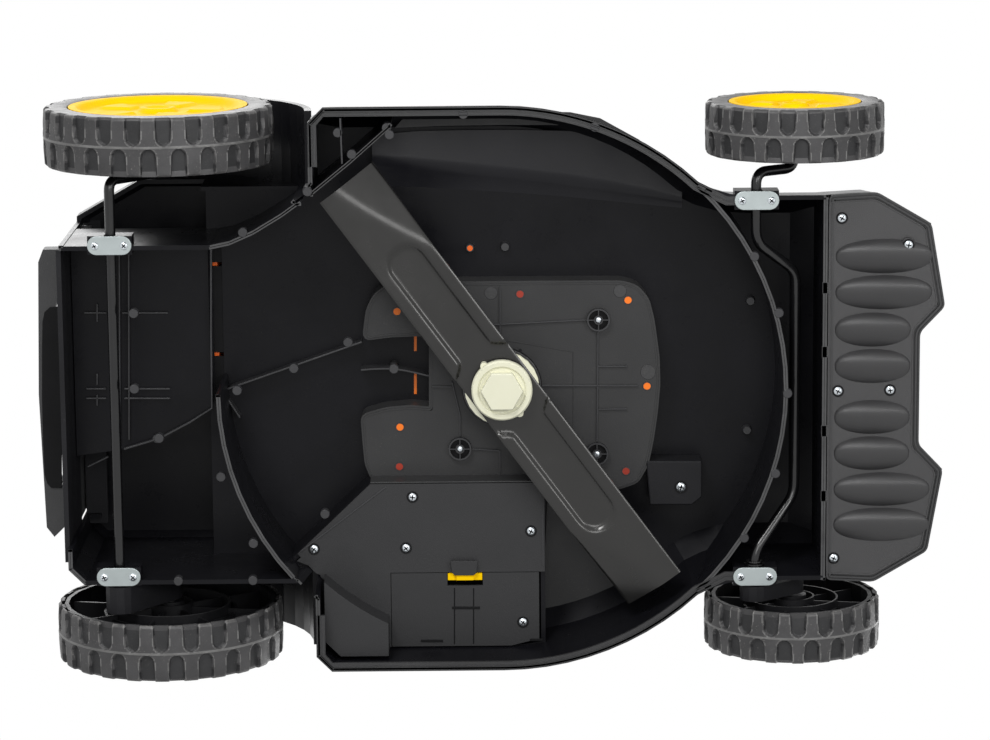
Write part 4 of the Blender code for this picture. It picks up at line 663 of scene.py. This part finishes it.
def nut():
    """Ivory cap nut with its hexagon, and the rings of the hub behind the blade."""
    low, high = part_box("blade_nut")
    z0, z1 = low[2], high[2]
    at = [(AXIS_X, 0.0)]
    r = 0.0236
    obj = pegs("cap_nut_disc", at, [
        (0.0, z0 + 0.0062), (0.015, z0 + 0.0062), (0.0176, z0 + 0.006), (0.019, z0 + 0.0048),
        (r - 0.0012, z0 + 0.0048), (r, z0 + 0.006), (r, z1), (0.0, z1)], IVORY, 96, "spindle",
        angle=30.0, bevel=0.0003)
    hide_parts("blade_nut")
    sheet("cap_nut_hexagon", [arc(AXIS_X, 0.0, 0.0166, 0.0, 300.0, 5)], z0, z0 + 0.0065, IVORY,
          "spindle", bevel=0.0011, segments=4)
    z0, z1, r = 0.0578, 0.0625, 0.0312
    pegs("fan_hub_rim", at, [(0.0, z0), (r - 0.0007, z0), (r, z0 + 0.001), (r, z1), (0.0, z1)],
         BLACK_STEEL, 64, "spindle", bevel=0.0003)
    # The thin ivory ring is a painted glint on the hub's inner edge, in the adapter's own ivory.
    z0, z1 = 0.0574, 0.0579
    for ring, mat, r0, r1 in (("fan_hub_seat_glint", IVORY, 0.0262, 0.0268),
                              ("fan_hub_lip", LINE, 0.0296, 0.0302)):
        pegs(ring, at, [(r0, z1), (r0, z0), (r1, z0), (r1, z1), (r0, z1)], mat, 72, "spindle")


# Clamps, rods and washers
def clamps():
    """Zinc plates with round ends and two screws each."""
    r, reach = 0.00725, 0.00975
    for corner in CORNERS:
        low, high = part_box("%s_clamp" % corner)
        cx, cy = (low[0] + high[0]) / 2, (low[1] + high[1]) / 2
        z0, z1 = high[2] - 0.002, high[2]
        plan = arc(cx + reach, cy, r, -90.0, 90.0, 16) + arc(cx - reach, cy, r, 90.0, 270.0, 16)
        obj = sheet("%s_clamp_plate" % corner, [plan], z0, z1, ZINC, bevel=0.0005, segments=3)
        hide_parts("%s_clamp" % corner)
        for side in (-1, 1):
            screw((cx + side * 0.0112, cy), z0, 35.0 * side + 10.0, 0.003, seat_shadow=False)


def rods():
    """Both rods, from their left arm to the right wheel's axle; the front one is bowed."""
    low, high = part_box("rear_axle")
    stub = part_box("rear_stub_axle")[0]
    rod_x, wheel_x, wheel_z = low[0] + ROD_R, stub[0] + ROD_R, stub[2] + ROD_R
    crank_y = -0.166
    obj = rod("rear_rod", [(rod_x, high[1], ROD_Z), (rod_x, crank_y, ROD_Z),
                           (wheel_x, crank_y, wheel_z), (wheel_x, low[1], wheel_z)], 0.0085,
              "rear_cranks")
    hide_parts("rear_axle")
    low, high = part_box("front_axle")
    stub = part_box("front_stub_axle")[0]
    rod_x, wheel_x, wheel_z = low[0] + ROD_R, stub[0] + ROD_R, stub[2] + ROD_R
    bow_x, bow_z, bow_y = high[0] - ROD_R, min(high[2] - ROD_R, 0.066), 0.088
    crank_y = -0.168
    obj = rod("front_rod", [(rod_x, high[1], ROD_Z), (rod_x, 0.13, ROD_Z), (bow_x, bow_y, bow_z),
                            (bow_x, -bow_y, bow_z), (rod_x, -0.114, ROD_Z),
                            (rod_x, crank_y, ROD_Z), (wheel_x, crank_y, wheel_z),
                            (wheel_x, low[1], wheel_z)], 0.01, "front_cranks")
    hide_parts("front_axle")


def washers():
    """Two washers on the front rod beside its left clamp."""
    low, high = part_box("front_left_clamp")
    x, bore = (low[0] + high[0]) / 2, 0.0042
    bm = bmesh.new()
    for y, r, t in ((low[1] - 0.0016, 0.0082, 0.0012), (low[1] - 0.0036, 0.0066, 0.001)):
        turned_into(bm, [(bore, 0.0), (r, 0.0), (r, t), (bore, t), (bore, 0.0)], 32,
                    (x, y, ROD_Z), "Y")
    made("front_rod_washers", bm, BLACK_STEEL, bevel=0.0001)


# Nose plate
def drawn_in(points, distance):
    """Closed outline moved inwards by a distance; the points run anticlockwise."""
    points = [Vector(p) for p in points]
    result = []
    for before, here, after in zip(points[-1:] + points, points, points[1:] + points[:1]):
        d1, d2 = (here - before).normalized(), (after - here).normalized()
        n1, n2 = Vector((-d1.y, d1.x)), Vector((-d2.y, d2.x))
        result.append(tuple(here + (n1 + n2) / max(0.3, 1.0 + n1.dot(n2)) * distance))
    return result


def softened(points, radius, steps=5):
    """Closed outline with rounded corners."""
    result = []
    for before, here, after in zip(points[-1:] + points, points, points[1:] + points[:1]):
        result += [tuple(p) for p in corner_points(before, here, after, radius, 0.45, steps)]
    return result


def ring_into(bm, outer, inner, z0, z1):
    """Flat ring between two closed outlines of equal length."""
    levels = [[(*o, z0), (*i, z0), (*i, z1), (*o, z1)] for o, i in zip(outer, inner)]
    return loft_into(bm, levels, closed=True)


def nose_plate():
    """Plate with smooth oval ridges and tabs, and the grooved edge of the deck round it."""
    low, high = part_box("front_plate")
    x0, x1 = low[0], high[0]
    half = [(x0, 0.151), (x0 + 0.037, 0.153), (x1 - 0.01125, 0.1285), (x1, 0.064),
            (x1 - 0.019, 0.044)]
    outline = [(x, -y) for x, y in half] + [(x, y) for x, y in reversed(half)]
    inner = drawn_in(outline, 0.0052)
    inner = [(x0, inner[0][1])] + inner[1:-1] + [(x0, inner[-1][1])]
    edge = softened(inner, 0.004)
    plate = sheet("nose_cover_sheet", [edge], RIM_Z, RIM_Z + 0.003, NOSE, bevel=0.0006)
    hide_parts("front_plate")
    bm = ring_into(bmesh.new(), edge, drawn_in(edge, 0.0011), RIM_Z - 0.0005, RIM_Z + 0.001)
    made("nose_cover_bead", bm, NOSE, bevel=0.0002)
    outer = softened(outline, 0.004)
    bm = bmesh.new()
    for a, b, drop in ((0.0002, 0.0016, 0.0004), (0.0016, 0.0024, -0.0008),
                       (0.0024, 0.0038, 0.0006), (0.0038, 0.0052, -0.0014)):
        ring_into(bm, drawn_in(outer, a), drawn_in(outer, b), RIM_Z - drop, RIM_Z + 0.003)
    made("nose_edge", bm, RIM, bevel=0.0002)
    nose_ridges(x0, x1)
    tabs = [rect(x0 - 0.0045, x0 + 0.001, y - 0.0045, y + 0.0045)
            for _, y in seen_plan([(829, v) for v in (288, 352, 431, 496)], RIM_Z)]
    sheet("nose_cover_tabs", tabs, RIM_Z - 0.0002, RIM_Z + 0.0025, NOSE, bevel=0.0004)
    on_boss = 0.0042
    for u, v, raised in ((842, 218, PROUD), (908, 244, on_boss), (838, 391, PROUD),
                         (890, 390, PROUD), (899, 533, PROUD), (833.5, 558, PROUD)):
        p = seen(u, v, RIM_Z)
        screw(p, RIM_Z - raised, u % 90)
        if raised == on_boss:
            z0, z1 = RIM_Z - 0.004, RIM_Z + 0.0006
            pegs("nose_screw_boss", [p], [(0.0, z0), (0.0046, z0), (0.0052, z0 + 0.0006),
                                          (0.0056, z1), (0.0, z1)], NOSE, 32)


def nose_ridges(x0, x1):
    """Oval ridges that lean to one side; the four outer ones reach further forward."""
    cols, rows = 56, 20
    crest = -0.42        # where the ridge is highest, as a share of its half width
    bm = bmesh.new()
    for y_mm, wide in ((-103.5, True), (-75.5, True), (-46.5, False), (-18.0, False),
                       (22.0, False), (50.5, False), (79.0, True), (107.0, True)):
        start = x0 + 0.0055
        length = x1 - (0.0105 if wide else 0.0265) - start
        levels = []
        for i in range(cols + 1):
            t = 0.5 - 0.5 * cos(pi * i / cols)
            swell = sqrt(max(0.0, 1.0 - (2.0 * t - 1.0) ** 2))
            tall = 0.0078 * swell * (1.0 - 0.35 * smooth((t - 0.55) / 0.45))
            ring = []
            for k in range(rows + 1):
                q = -1.0 + 2.0 * k / rows
                lean = (q - crest) / (1.0 - crest if q > crest else 1.0 + crest)
                rise = tall * max(0.0, 1.0 - lean * lean) ** 0.9 - 0.0001
                ring.append((start + length * t, y_mm * MM + 0.0134 * swell ** 0.8 * q,
                             RIM_Z - rise))
            levels.append(ring)
        loft_into(bm, levels, wrap=False, caps=False)
    made("nose_ridges", weld(bm, 1e-6), NOSE, angle=75.0)


# Edges of the deck
def deck_outline():
    """Left edge of the deck from the rear wheel's arch forward to the nose."""
    skirt, flare, half_w, corner_w = 0.2215, 0.011, 0.151, 0.012
    rear_x = AXIS_X - 0.1465
    play = 0.0003
    corner = degrees(asin((half_w + flare) / skirt))
    left = [(rear_x + play, 0.176), (rear_x + play, skirt - corner_w),
            (rear_x + corner_w, skirt - play)]
    left += arc(AXIS_X, 0.0, skirt - play, 90.0, corner, 30)
    fx = AXIS_X + skirt * cos(radians(corner))
    left += [(fx + flare, half_w + flare / 2 - play), (fx + 2 * flare, half_w - play),
             (fx + 4 * flare, half_w - play)]
    return left


def rim_bands():
    """Grooved flange along the lower edge of the skirt, with thin beads that run along it."""
    width, low, drop = 0.007, 0.0378, 0.0006
    section = [(0.0, low + 0.0022), (0.0, low)]
    for share, half in ((0.1, 0.045), (0.42, 0.03), (0.6, 0.03), (0.93, 0.04)):
        section += [(share - half * 1.6, low), (share - half, low - drop),
                    (share + half, low - drop), (share + half * 1.6, low)]
    section += [(1.0, low), (1.0, low + 0.0022)]
    left = deck_outline()
    for name, path in (("left", left[::-1]), ("right", [(x, -y) for x, y in left])):
        levels = [[(*(p + side * (share * width)), z) for share, z in section]
                  for p, side in with_sides(path)]
        made("skirt_rim_%s" % name, loft_into(bmesh.new(), levels), RIM, angle=30.0)


def wall_edges():
    """Lighter bead along both lower edges of the deck's walls, a painted highlight, left out under
    the clamps.
    """
    near, highest, shortest = 0.004, 0.06, 0.0006
    shell = nodes["deck_shell"]
    mesh = shell.data
    points = [shell.matrix_world @ v.co for v in mesh.vertices]
    clamped = [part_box("%s_clamp" % corner) for corner in CORNERS]
    under, sides = {}, {}
    for poly in mesh.polygons:
        a, b, c = (points[i] for i in poly.vertices[:3])
        middle = (a + b + c) / 3
        if (b - a).cross(c - a).normalized().z < -0.95 and middle.z < highest:
            under[poly.index] = middle
        for key in poly.edge_keys:
            ends = tuple(sorted(tuple(round(x, 6) for x in points[k]) for k in key))
            sides.setdefault(ends, []).append(poly.index)
    bm = bmesh.new()
    for (a, b), faces in sides.items():
        inside = [f for f in faces if f in under]
        a, b = Vector(a), Vector(b)
        middle = (a + b) / 2
        if len(inside) != 1 or (b - a).length < shortest:
            continue
        if any(low[0] - near < c.x < high[0] + near and low[1] - near < c.y < high[1] + near
               for low, high in clamped for c in (a, b, middle)):
            continue
        across = Vector((a.y - b.y, b.x - a.x, 0.0)).normalized()
        if across.dot(under[inside[0]] - middle) < 0.0:
            across = -across
        shift = across * 0.001
        edge_z = min(a.z, b.z)
        bar_into(bm, a + shift, b + shift, 0.0018, edge_z - 0.0002, edge_z + 0.0005)
    made("wall_edge_highlight_beads", bm, EDGE)


def pads():
    """Round moulding pads on the edges of the deck's walls, in mm from the blade's axis."""
    places = [(-282, -64), (-283, -5), (-265, 34), (-197, -126), (-147, -157), (-123, -202),
              (-86, -205), (-28, -218), (73, -207), (-160, -20), (-204, -3), (-118, -40),
              (-83, -19), (-218, 65), (-194, 118), (-253, 147.5), (-195, 147.5), (-138, 95),
              (194, -104), (213, -60), (220, 3), (211, 66), (187, 117)]
    skirt = 217.0
    for i, (x, y) in enumerate(places):
        r = hypot(x, y)
        pull = MM * skirt / r if r > 215.0 and abs(y) > 160.0 else MM
        places[i] = (AXIS_X + x * pull, y * pull)
    pegs("moulding_pads", places, pad_profile(0.0372, 0.044) + [(0.0, 0.044)])


def ribs_px(name, segments, z, height, width, mat=LINE, body="deck"):
    """Thin ribs between pixels of the photograph, standing down from a face at height z."""
    bm = bmesh.new()
    for u0, v0, u1, v1 in segments:
        bar_into(bm, seen(u0, v0, z - height), seen(u1, v1, z - height), width, z - height,
                 z + 0.0006)
    return made(name, bm, mat, body, bevel=min(0.0003, width / 4))


# Tray behind the blade
def plate_into(bm, outline, hole, z0, z1):
    """Flat plate with any outline and one round hole, made of clean triangles."""
    points = [Vector(p) for p in outline + hole]
    n = len(outline)
    loops = [list(range(n)), list(range(n, len(points)))]
    found, _, faces = delaunay_2d_cdt(points, [], loops, 1, 1e-7)[:3]
    zero = Vector((0.0, 0.0))
    middle = sum(points[n:], zero) / len(hole)
    reach = min((p - middle).length for p in points[n:]) * 0.99
    kept = [f for f in faces if (sum((found[i] for i in f), zero) / len(f) - middle).length > reach]
    for z, order in ((z0, -1), (z1, 1)):
        verts = [bm.verts.new((p.x, p.y, z)) for p in found]
        for f in kept:
            bm.faces.new([verts[i] for i in f][::order])
    for loop in (outline, hole[::-1]):
        for a, b in zip(loop, loop[1:] + loop[:1]):
            wall = ((*a, z0), (*b, z0), (*b, z1), (*a, z1))
            bm.faces.new([bm.verts.new(p) for p in wall])
    return weld(bm, 1e-6)


def motor_plate():
    """Tray behind the blade: rounded floor with the vent's notch, edge bead and outer wall."""
    edge = seen_plan([
        (366.3, 337), (367.3, 327), (369.4, 310.8), (376.5, 296.5), (388, 288), (404, 285.6),
        (464, 285.3), (540, 284.6), (621.4, 284.3), (635.7, 288.4), (646, 300.6), (651, 321),
        (656, 357.8), (656.7, 384.3), (654, 412.9), (650, 440), (645, 463.9), (635.7, 480.2),
        (617.3, 486.3), (560, 487), (500, 487.5), (388.8, 488), (374.5, 478), (368.4, 463.9),
        (366, 440), (364.3, 417.3), (386, 411), (411, 408.8), (432.7, 410.8), (432.7, 332),
        (415.3, 332.9), (390.8, 333.7)], TRAY_Z)
    hole = arc(AXIS_X, 0.0, 0.0125, 0.0, 350.0, 35)
    bm = plate_into(bmesh.new(), softened(edge, 0.002, 3), hole, TRAY_Z, TRAY_Z + 0.004)
    obj = made("motor_tray_floor", bm, PLATE)
    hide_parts("motor_plate")
    loop = softened(edge[::-1], 0.004, 4)
    bm = ring_into(bmesh.new(), loop, drawn_in(loop, 0.0011), TRAY_Z - 0.0005, TRAY_Z + 0.001)
    ring_into(bm, loop, drawn_in(loop, 0.003), TRAY_Z + 0.0006, 0.1243)
    made("motor_tray_wall", bm, PLATE, bevel=0.0002)


def tray_wells():
    """Three screws in cross-ribbed wells."""
    wells = bmesh.new()
    low, floor = 0.0955, 0.099
    places = seen_plan([(598.5, 320), (460, 449), (597, 454)], 0.0965)
    for p in places:
        peg_into(wells, p, [(0.0078, floor), (0.0078, low), (0.009, low), (0.0092, 0.1004)], 40)
        peg_into(wells, p, [(0.0026, floor), (0.0026, low), (0.0036, low), (0.0038, floor)])
        for k in range(4):
            a = radians(90.0 * k)
            ray = Vector((cos(a), sin(a)))
            bar_into(wells, Vector(p) + ray * 0.0034, Vector(p) + ray * 0.0082, 0.0008, 0.0957,
                     floor)
    made("motor_screw_wells", wells, LINE)
    pegs("motor_screw_shadow", places, [(0.0, 0.0988), (0.008, 0.0988), (0.008, 0.0994),
                                        (0.0, 0.0994)], PAINTED_SHADE, 32)
    pegs("motor_screws", places, [(0.0, 0.0962), (0.0016, 0.0963), (0.0024, 0.0968),
                                  (0.0024, floor)], SCREW, 20)


def motor_plate_details():
    """Ribs, wells, holes with the orange cover behind them, pads, vent and apron."""
    z = TRAY_Z
    ribs_px("motor_plate_ribs", [
        (500, 287, 500, 336), (492, 325, 588, 320), (598, 332, 597, 442), (537, 386, 638, 386),
        (598, 366.5, 627, 366.5), (598, 409.5, 627, 409), (460, 415, 460, 436),
        (452, 382, 460, 415), (472, 449, 500, 451), (500, 451, 500, 487), (432, 387, 452, 387)],
        z, 0.0019, 0.0011)
    ribs_px("motor_plate_lines", [(573, 352, 573, 430), (504, 340, 573, 352),
                                  (573, 430, 566, 430)], z, 0.0004, 0.0008, PLATE)
    tray_wells()
    # Orange discs in the holes: the cover behind them, some with painted light and some with
    # painted shade.
    lit, dim, rims = bmesh.new(), bmesh.new(), bmesh.new()
    r = 0.0029
    for u, v, spot in ((628, 300, lit), (520, 294, dim), (647, 386, lit), (626, 471, dim),
                       (519, 478, dim), (400, 427, lit), (399.5, 466.5, dim), (397, 311.5, lit)):
        p = seen(u, v, z)
        peg_into(spot, p, [(0.0, z - 0.00025), (r, z - 0.00025), (r, z + 0.0005)], 20)
        peg_into(rims, p, [(r, z - 0.0006), (0.0034, z - 0.0006), (0.0036, z + 0.0002),
                           (r, z + 0.0002)])
    made("motor_plate_holes_lit", lit, PAINTED_LIT_ORANGE)
    made("motor_plate_holes_dim", dim, PAINTED_DIM_ORANGE)
    made("motor_plate_hole_rims", rims, LINE)
    bm = bmesh.new()
    for u, v, r in ((491, 293, 0.0054), (620, 291, 0.0054), (648, 372, 0.0062),
                    (491, 481, 0.0056), (607, 484, 0.003)):
        peg_into(bm, seen(u, v, z), [(0.0, z - 0.0004), (r - 0.0005, z - 0.0004),
                                     (r, z + 0.0003)], 28)
    made("motor_plate_pads", bm, RIM)
    vent_details()
    apron = rect(seen(371, 480, z).x, seen(545, 480, z).x, 0.0786, 0.0799)
    sheet("motor_tray_apron", [apron], 0.077, z + 0.0004, PLATE, bevel=0.0004)


def vent_details():
    """Strips in a painted lit orange, curved guide and pad in the tray's notch."""
    light_z, guide_z, top_z = 0.1236, 0.109, 0.1248
    bm = bmesh.new()
    for u, v0, v1, width in ((415.4, 334, 351, 0.0022), (415.4, 371, 394, 0.0022),
                             (430.3, 399, 405, 0.002)):
        bar_into(bm, seen(u, v0, light_z), seen(u, v1, light_z), width, light_z, 0.1246)
    made("vent_light_strip", bm, PAINTED_LIT_ORANGE)
    path = seen_plan([(361, 369.3), (372, 368.4), (384, 368), (394, 368.2), (406, 370),
                      (418, 372.6), (432, 376)], 0.112)
    made("vent_guide", strip_into(bmesh.new(), path, 0.0012, guide_z, top_z), LINE)
    pad_z = 0.1085
    pegs("vent_pad", [seen(393.5, 368.5, pad_z)], pad_profile(pad_z, top_z, 0.0005), RIM)


# Electronics bay, discharge tunnel and blade chamber
def bay_details():
    """Screws, grooves and clips of the bay's cover and hatch, and the pad behind the bay."""
    z = COVER_Z
    for u, v in ((412.5, 497), (314, 549), (406, 548), (531, 531), (366, 648.5)):
        screw(seen(u, v, z), z - PROUD, (u * 7) % 90)
    screw(seen(523, 622, z), z - PROUD, 35.0, body="hatch")
    # The grooves and the gaps at the clips are thin bars in the painted shade colour.
    ribs_px("hatch_grooves", [(454.5, 588, 454.5, 644), (473.6, 588, 473.6, 644)], z, 0.0003,
            0.001, PAINTED_SHADE, "hatch")
    ribs_px("hatch_clips", [(452, 608, 480, 608), (421, 641, 443, 641), (530, 640, 543, 640)], z,
            0.0008, 0.002, PAINTED_SHADE, "hatch")
    ribs_px("bay_cover_edges", [(386, 487, 300, 552), (543, 515, 543, 566)], z, 0.0006, 0.0012)
    guard_z = 0.0728
    tab = seen_plan([(450.5, 561), (477.5, 561), (476.5, 573), (473.5, 575.5), (455, 575.5),
                     (452, 573)], guard_z)
    sheet("latch_guard", [tab], guard_z, guard_z + 0.0008, COVER, bevel=0.0003)
    plan = []
    for x, y in seen_plan([(547, 496), (566, 500), (606, 566), (628, 610), (622, 628), (590, 640),
                           (547, 652)], 0.123):
        part = min(1.0, 0.203 / hypot(x - AXIS_X, y))     # kept inside the wall
        plan.append((AXIS_X + (x - AXIS_X) * part, y * part))
    sheet("chamber_side_pad", [plan], 0.1232, 0.1246, PLATE, bevel=0.0005)


def chute_details():
    """Ribs, pads and the roof's edge in the discharge tunnel."""
    z = CHUTE_Z
    ribs_px("chute_ribs", [
        (84, 313, 106, 313), (122, 313, 168, 313), (86, 389, 106, 389), (124, 389, 170, 389),
        (86, 398.5, 106, 398.5), (124, 398.5, 170, 398.5), (128.5, 250, 129, 440),
        (87.5, 467, 108, 457), (97, 374, 97, 385), (97, 395, 97, 406), (97, 304, 97, 322),
        (119, 250, 120, 444)], z, 0.003, 0.0012)
    pegs("chute_pads", seen_plan([(134, 313), (134, 388), (157, 438)], z),
         pad_profile(z - 0.0034, z, 0.0006))
    path = seen_plan([(211, 246), (211, 330), (212, 408), (190, 422), (160, 438), (124, 449)],
                     z - 0.003)
    made("chute_roof_edge", strip_into(bmesh.new(), path, 0.0016, z - 0.0045, z + 0.0006), LINE,
         bevel=0.0004)


def roof_details():
    """Ribs, shelf, a lighter strip of painted light on the wall, pocket box and bosses in the blade
    chamber.
    """
    ribs_px("roof_ribs", [(222, 391, 362, 342), (240, 418, 222, 391)], ROOF_Z, 0.012, 0.0014)

    def between(p, q, share, lift):
        return p.lerp(q, share) + Vector((0.0, 0.0, lift))

    levels = []
    for u, roof_v, ridge_v, wall_v in ((372, 186, 157, 135), (420, 187, 162, 131),
                                       (470, 190, 168, 130), (520, 193, 174, 130),
                                       (570, 197, 181, 131), (610, 201, 187, 139),
                                       (650, 205, 193, 160), (682, 208, 199, 183)):
        a, b, c = seen(u, roof_v, 0.1243), seen(u, ridge_v, 0.119), seen(u, wall_v, 0.1202)
        levels.append([a, between(a, b, 0.34, 0.0006), between(a, b, 0.67, 0.0002), b,
                       between(b, c, 0.15, 0.0002), c, (c.x, c.y, 0.1247), (a.x, a.y, 0.1247)])
    made("chamber_shelf", loft_into(bmesh.new(), levels), SHELF, angle=55.0)
    # A lighter strip on the chamber's inner wall: painted light where the wall is lit.
    light_strip_z = 0.1178
    strip = seen_plan([(394, 128), (404, 117), (420, 113), (500, 111), (570, 112), (600, 118),
                       (640, 140), (632, 141), (600, 127), (560, 125), (500, 125), (440, 126)],
                      light_strip_z + 0.0012)
    sheet("chamber_wall_light_strip", [strip], light_strip_z, light_strip_z + 0.0012, PLATE, bevel=0.0004)
    box_z = 0.1
    outline = seen_plan([(646, 461), (702, 461), (702, 497), (692, 505), (650, 505)], box_z)
    sheet("chamber_pocket_box", [outline[::-1]], box_z, 0.1246, DECK_MATT, bevel=0.0012,
          segments=3)
    screw(seen(681, 487, box_z), box_z - PROUD, 15.0, 0.0036)
    z = ROOF_Z
    places = seen_plan([(505, 246), (750, 300), (746.5, 429), (470, 247)], z)
    pegs("roof_bosses", places, [(0.0, z - 0.006), (0.003, z - 0.006), (0.0036, z - 0.005),
                                 (0.004, z)])
    pegs("roof_hole", places[-1:], [(0.0, z - 0.0062), (0.0022, z - 0.0062), (0.0022, z - 0.005)],
         ORANGE, 20)


def corner_pocket():
    """Ribs and pads of the triangular pocket at the right rear corner of the skirt."""
    low, top = 0.039, 0.056
    ribs_px("corner_pocket_ribs", [(311, 119, 311.5, 176), (340, 118, 342, 164)], top, 0.017,
            0.0014)
    pegs("corner_pocket_pads", seen_plan([(337.5, 133), (386.5, 128), (307, 191)], low),
         pad_profile(low, top) + [(0.0, top)])


def rear_details():
    """Painted shade in the opening of the flap's bow, the flap's inner skin, its hinge covers and
    the slot's painted shade.
    """
    low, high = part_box("rear_flap")
    # A dark sheet fills the bow's opening: painted shade.
    opening = seen_plan([(42.5, 322), (44.5, 312), (50, 307), (62, 306), (62, 488), (51, 487.5),
                         (47, 483), (44.5, 474), (43, 440), (42, 400), (42, 350)], 0.1415)
    sheet("flap_bow_opening_shade", [opening], 0.1408, 0.1417, PAINTED_SHADE, "flap", bevel=0.0004)
    bm = bmesh.new()
    y0, y1 = low[1] + 0.001, high[1] - 0.001
    prism_into(bm, rect(-0.3272, -0.3235, y0, y1), 0.0516, 0.052)
    prism_into(bm, rect(-0.3238, -0.3234, y0, y1), 0.0518, 0.14)
    made("flap_inner_skin", bm, DECK_MATT, "flap")
    sheet("flap_hinge_cover", [rect(-0.3225, -0.305, 0.048, 0.1305)], 0.1648, 0.1662, DECK_MATT,
          bevel=0.0004)
    low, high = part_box("flap_pin")
    pin_x = (low[0] + high[0]) / 2
    sheet("flap_hinge_lip", [rect(pin_x - 0.002, pin_x + 0.012, -0.115, 0.124)], 0.1862, 0.1874,
          DECK_MATT, bevel=0.0004)
    slot_x, half = AXIS_X - 0.2237, 0.0037
    slots = [rect(slot_x - half, slot_x + half, seen(216, v0, 0.126).y, seen(216, v1, 0.126).y)
             for v0, v1 in ((245, 262), (266, 352), (356, 408))]
    sheet("chute_slot_shade", slots, 0.1252, 0.1275, PAINTED_SHADE)


# Room
def pale_floor():
    """Floor that is clear from below and casts no shadow or light on the mower."""
    reach, z = 8, -0.0006
    bm = bmesh.new()
    bm.faces.new([bm.verts.new((x * reach, y * reach, z))
                  for x, y in ((-1, -1), (1, -1), (1, 1), (-1, 1))])
    mesh = bpy.data.meshes.new("floor")
    bm.to_mesh(mesh)
    bm.free()
    obj = placed("floor", mesh)
    mat = bpy.data.materials.new("pale_floor")
    n = Nodes(mat)
    shader = n.tree.nodes["Principled BSDF"]
    n.feed(shader.inputs["Base Color"], (0.8, 0.8, 0.79))
    n.feed(shader.inputs["Roughness"], 0.8)
    n.shade("Material Output", n.add("ShaderNodeNewGeometry").outputs["Backfacing"],
            shader.outputs[0], n.add("ShaderNodeBsdfTransparent").outputs[0])
    mesh.materials.append(mat)
    obj.visible_shadow = False
    obj.visible_diffuse = False
    obj.visible_glossy = False


def studio_world():
    """White where it is seen or mirrored, and a dimmer blue-white as light."""
    world = bpy.data.worlds.new("studio")
    bpy.context.scene.world = world
    n = Nodes(world)
    back = n.tree.nodes["Background"]
    n.feed(back.inputs["Color"], (0.95, 0.97, 1.0))
    n.feed(back.inputs["Strength"], 0.3)
    white = n.add("ShaderNodeBackground", Color=(1.0, 1.0, 1.0, 1.0), Strength=1.0)
    rays = n.add("ShaderNodeLightPath").outputs
    shown = rays["Is Camera Ray"]
    for kind in ("Is Glossy Ray", "Is Transmission Ray"):
        shown = n.math("MAXIMUM", shown, rays[kind])
    n.shade("World Output", shown, back.outputs[0], white.outputs[0])


def lamps():
    middle = (0.0, 0.0, 0.1)
    for name, at, aim, size, power in (
            ("key_below", (-0.9, -2.3, -1.7), middle, 1.0, 52.0),
            ("fill_below", (1.65, -0.8, -1.95), (-0.1, -0.1, 0.1), 1.0, 20.0),
            ("soft_below", (0.2, -1.0, -2.9), middle, 1.4, 26.0),
            ("top_soft", (-0.8, -1.6, 2.8), middle, 2.4, 46.0),
            ("top_fill", (1.8, 1.6, 2.0), middle, 2.0, 34.0)):
        data = bpy.data.lights.new(name, "AREA")
        data.shape = "DISK"
        data.size = size
        data.energy = power
        obj = placed(name, data)
        obj.location = at
        obj.rotation_euler = (Vector(aim) - Vector(at)).to_track_quat("-Z", "Y").to_euler()


set_camera()
wheels()
blade()
nut()
clamps()
rods()
nose_plate()
rim_bands()
wall_edges()
pads()
motor_plate()
motor_plate_details()
bay_details()
chute_details()
roof_details()
corner_pocket()
rear_details()
wheel_rings()
washers()
make_screws()
pale_floor()
studio_world()
lamps()
bpy.context.scene.view_settings.view_transform = "Standard"
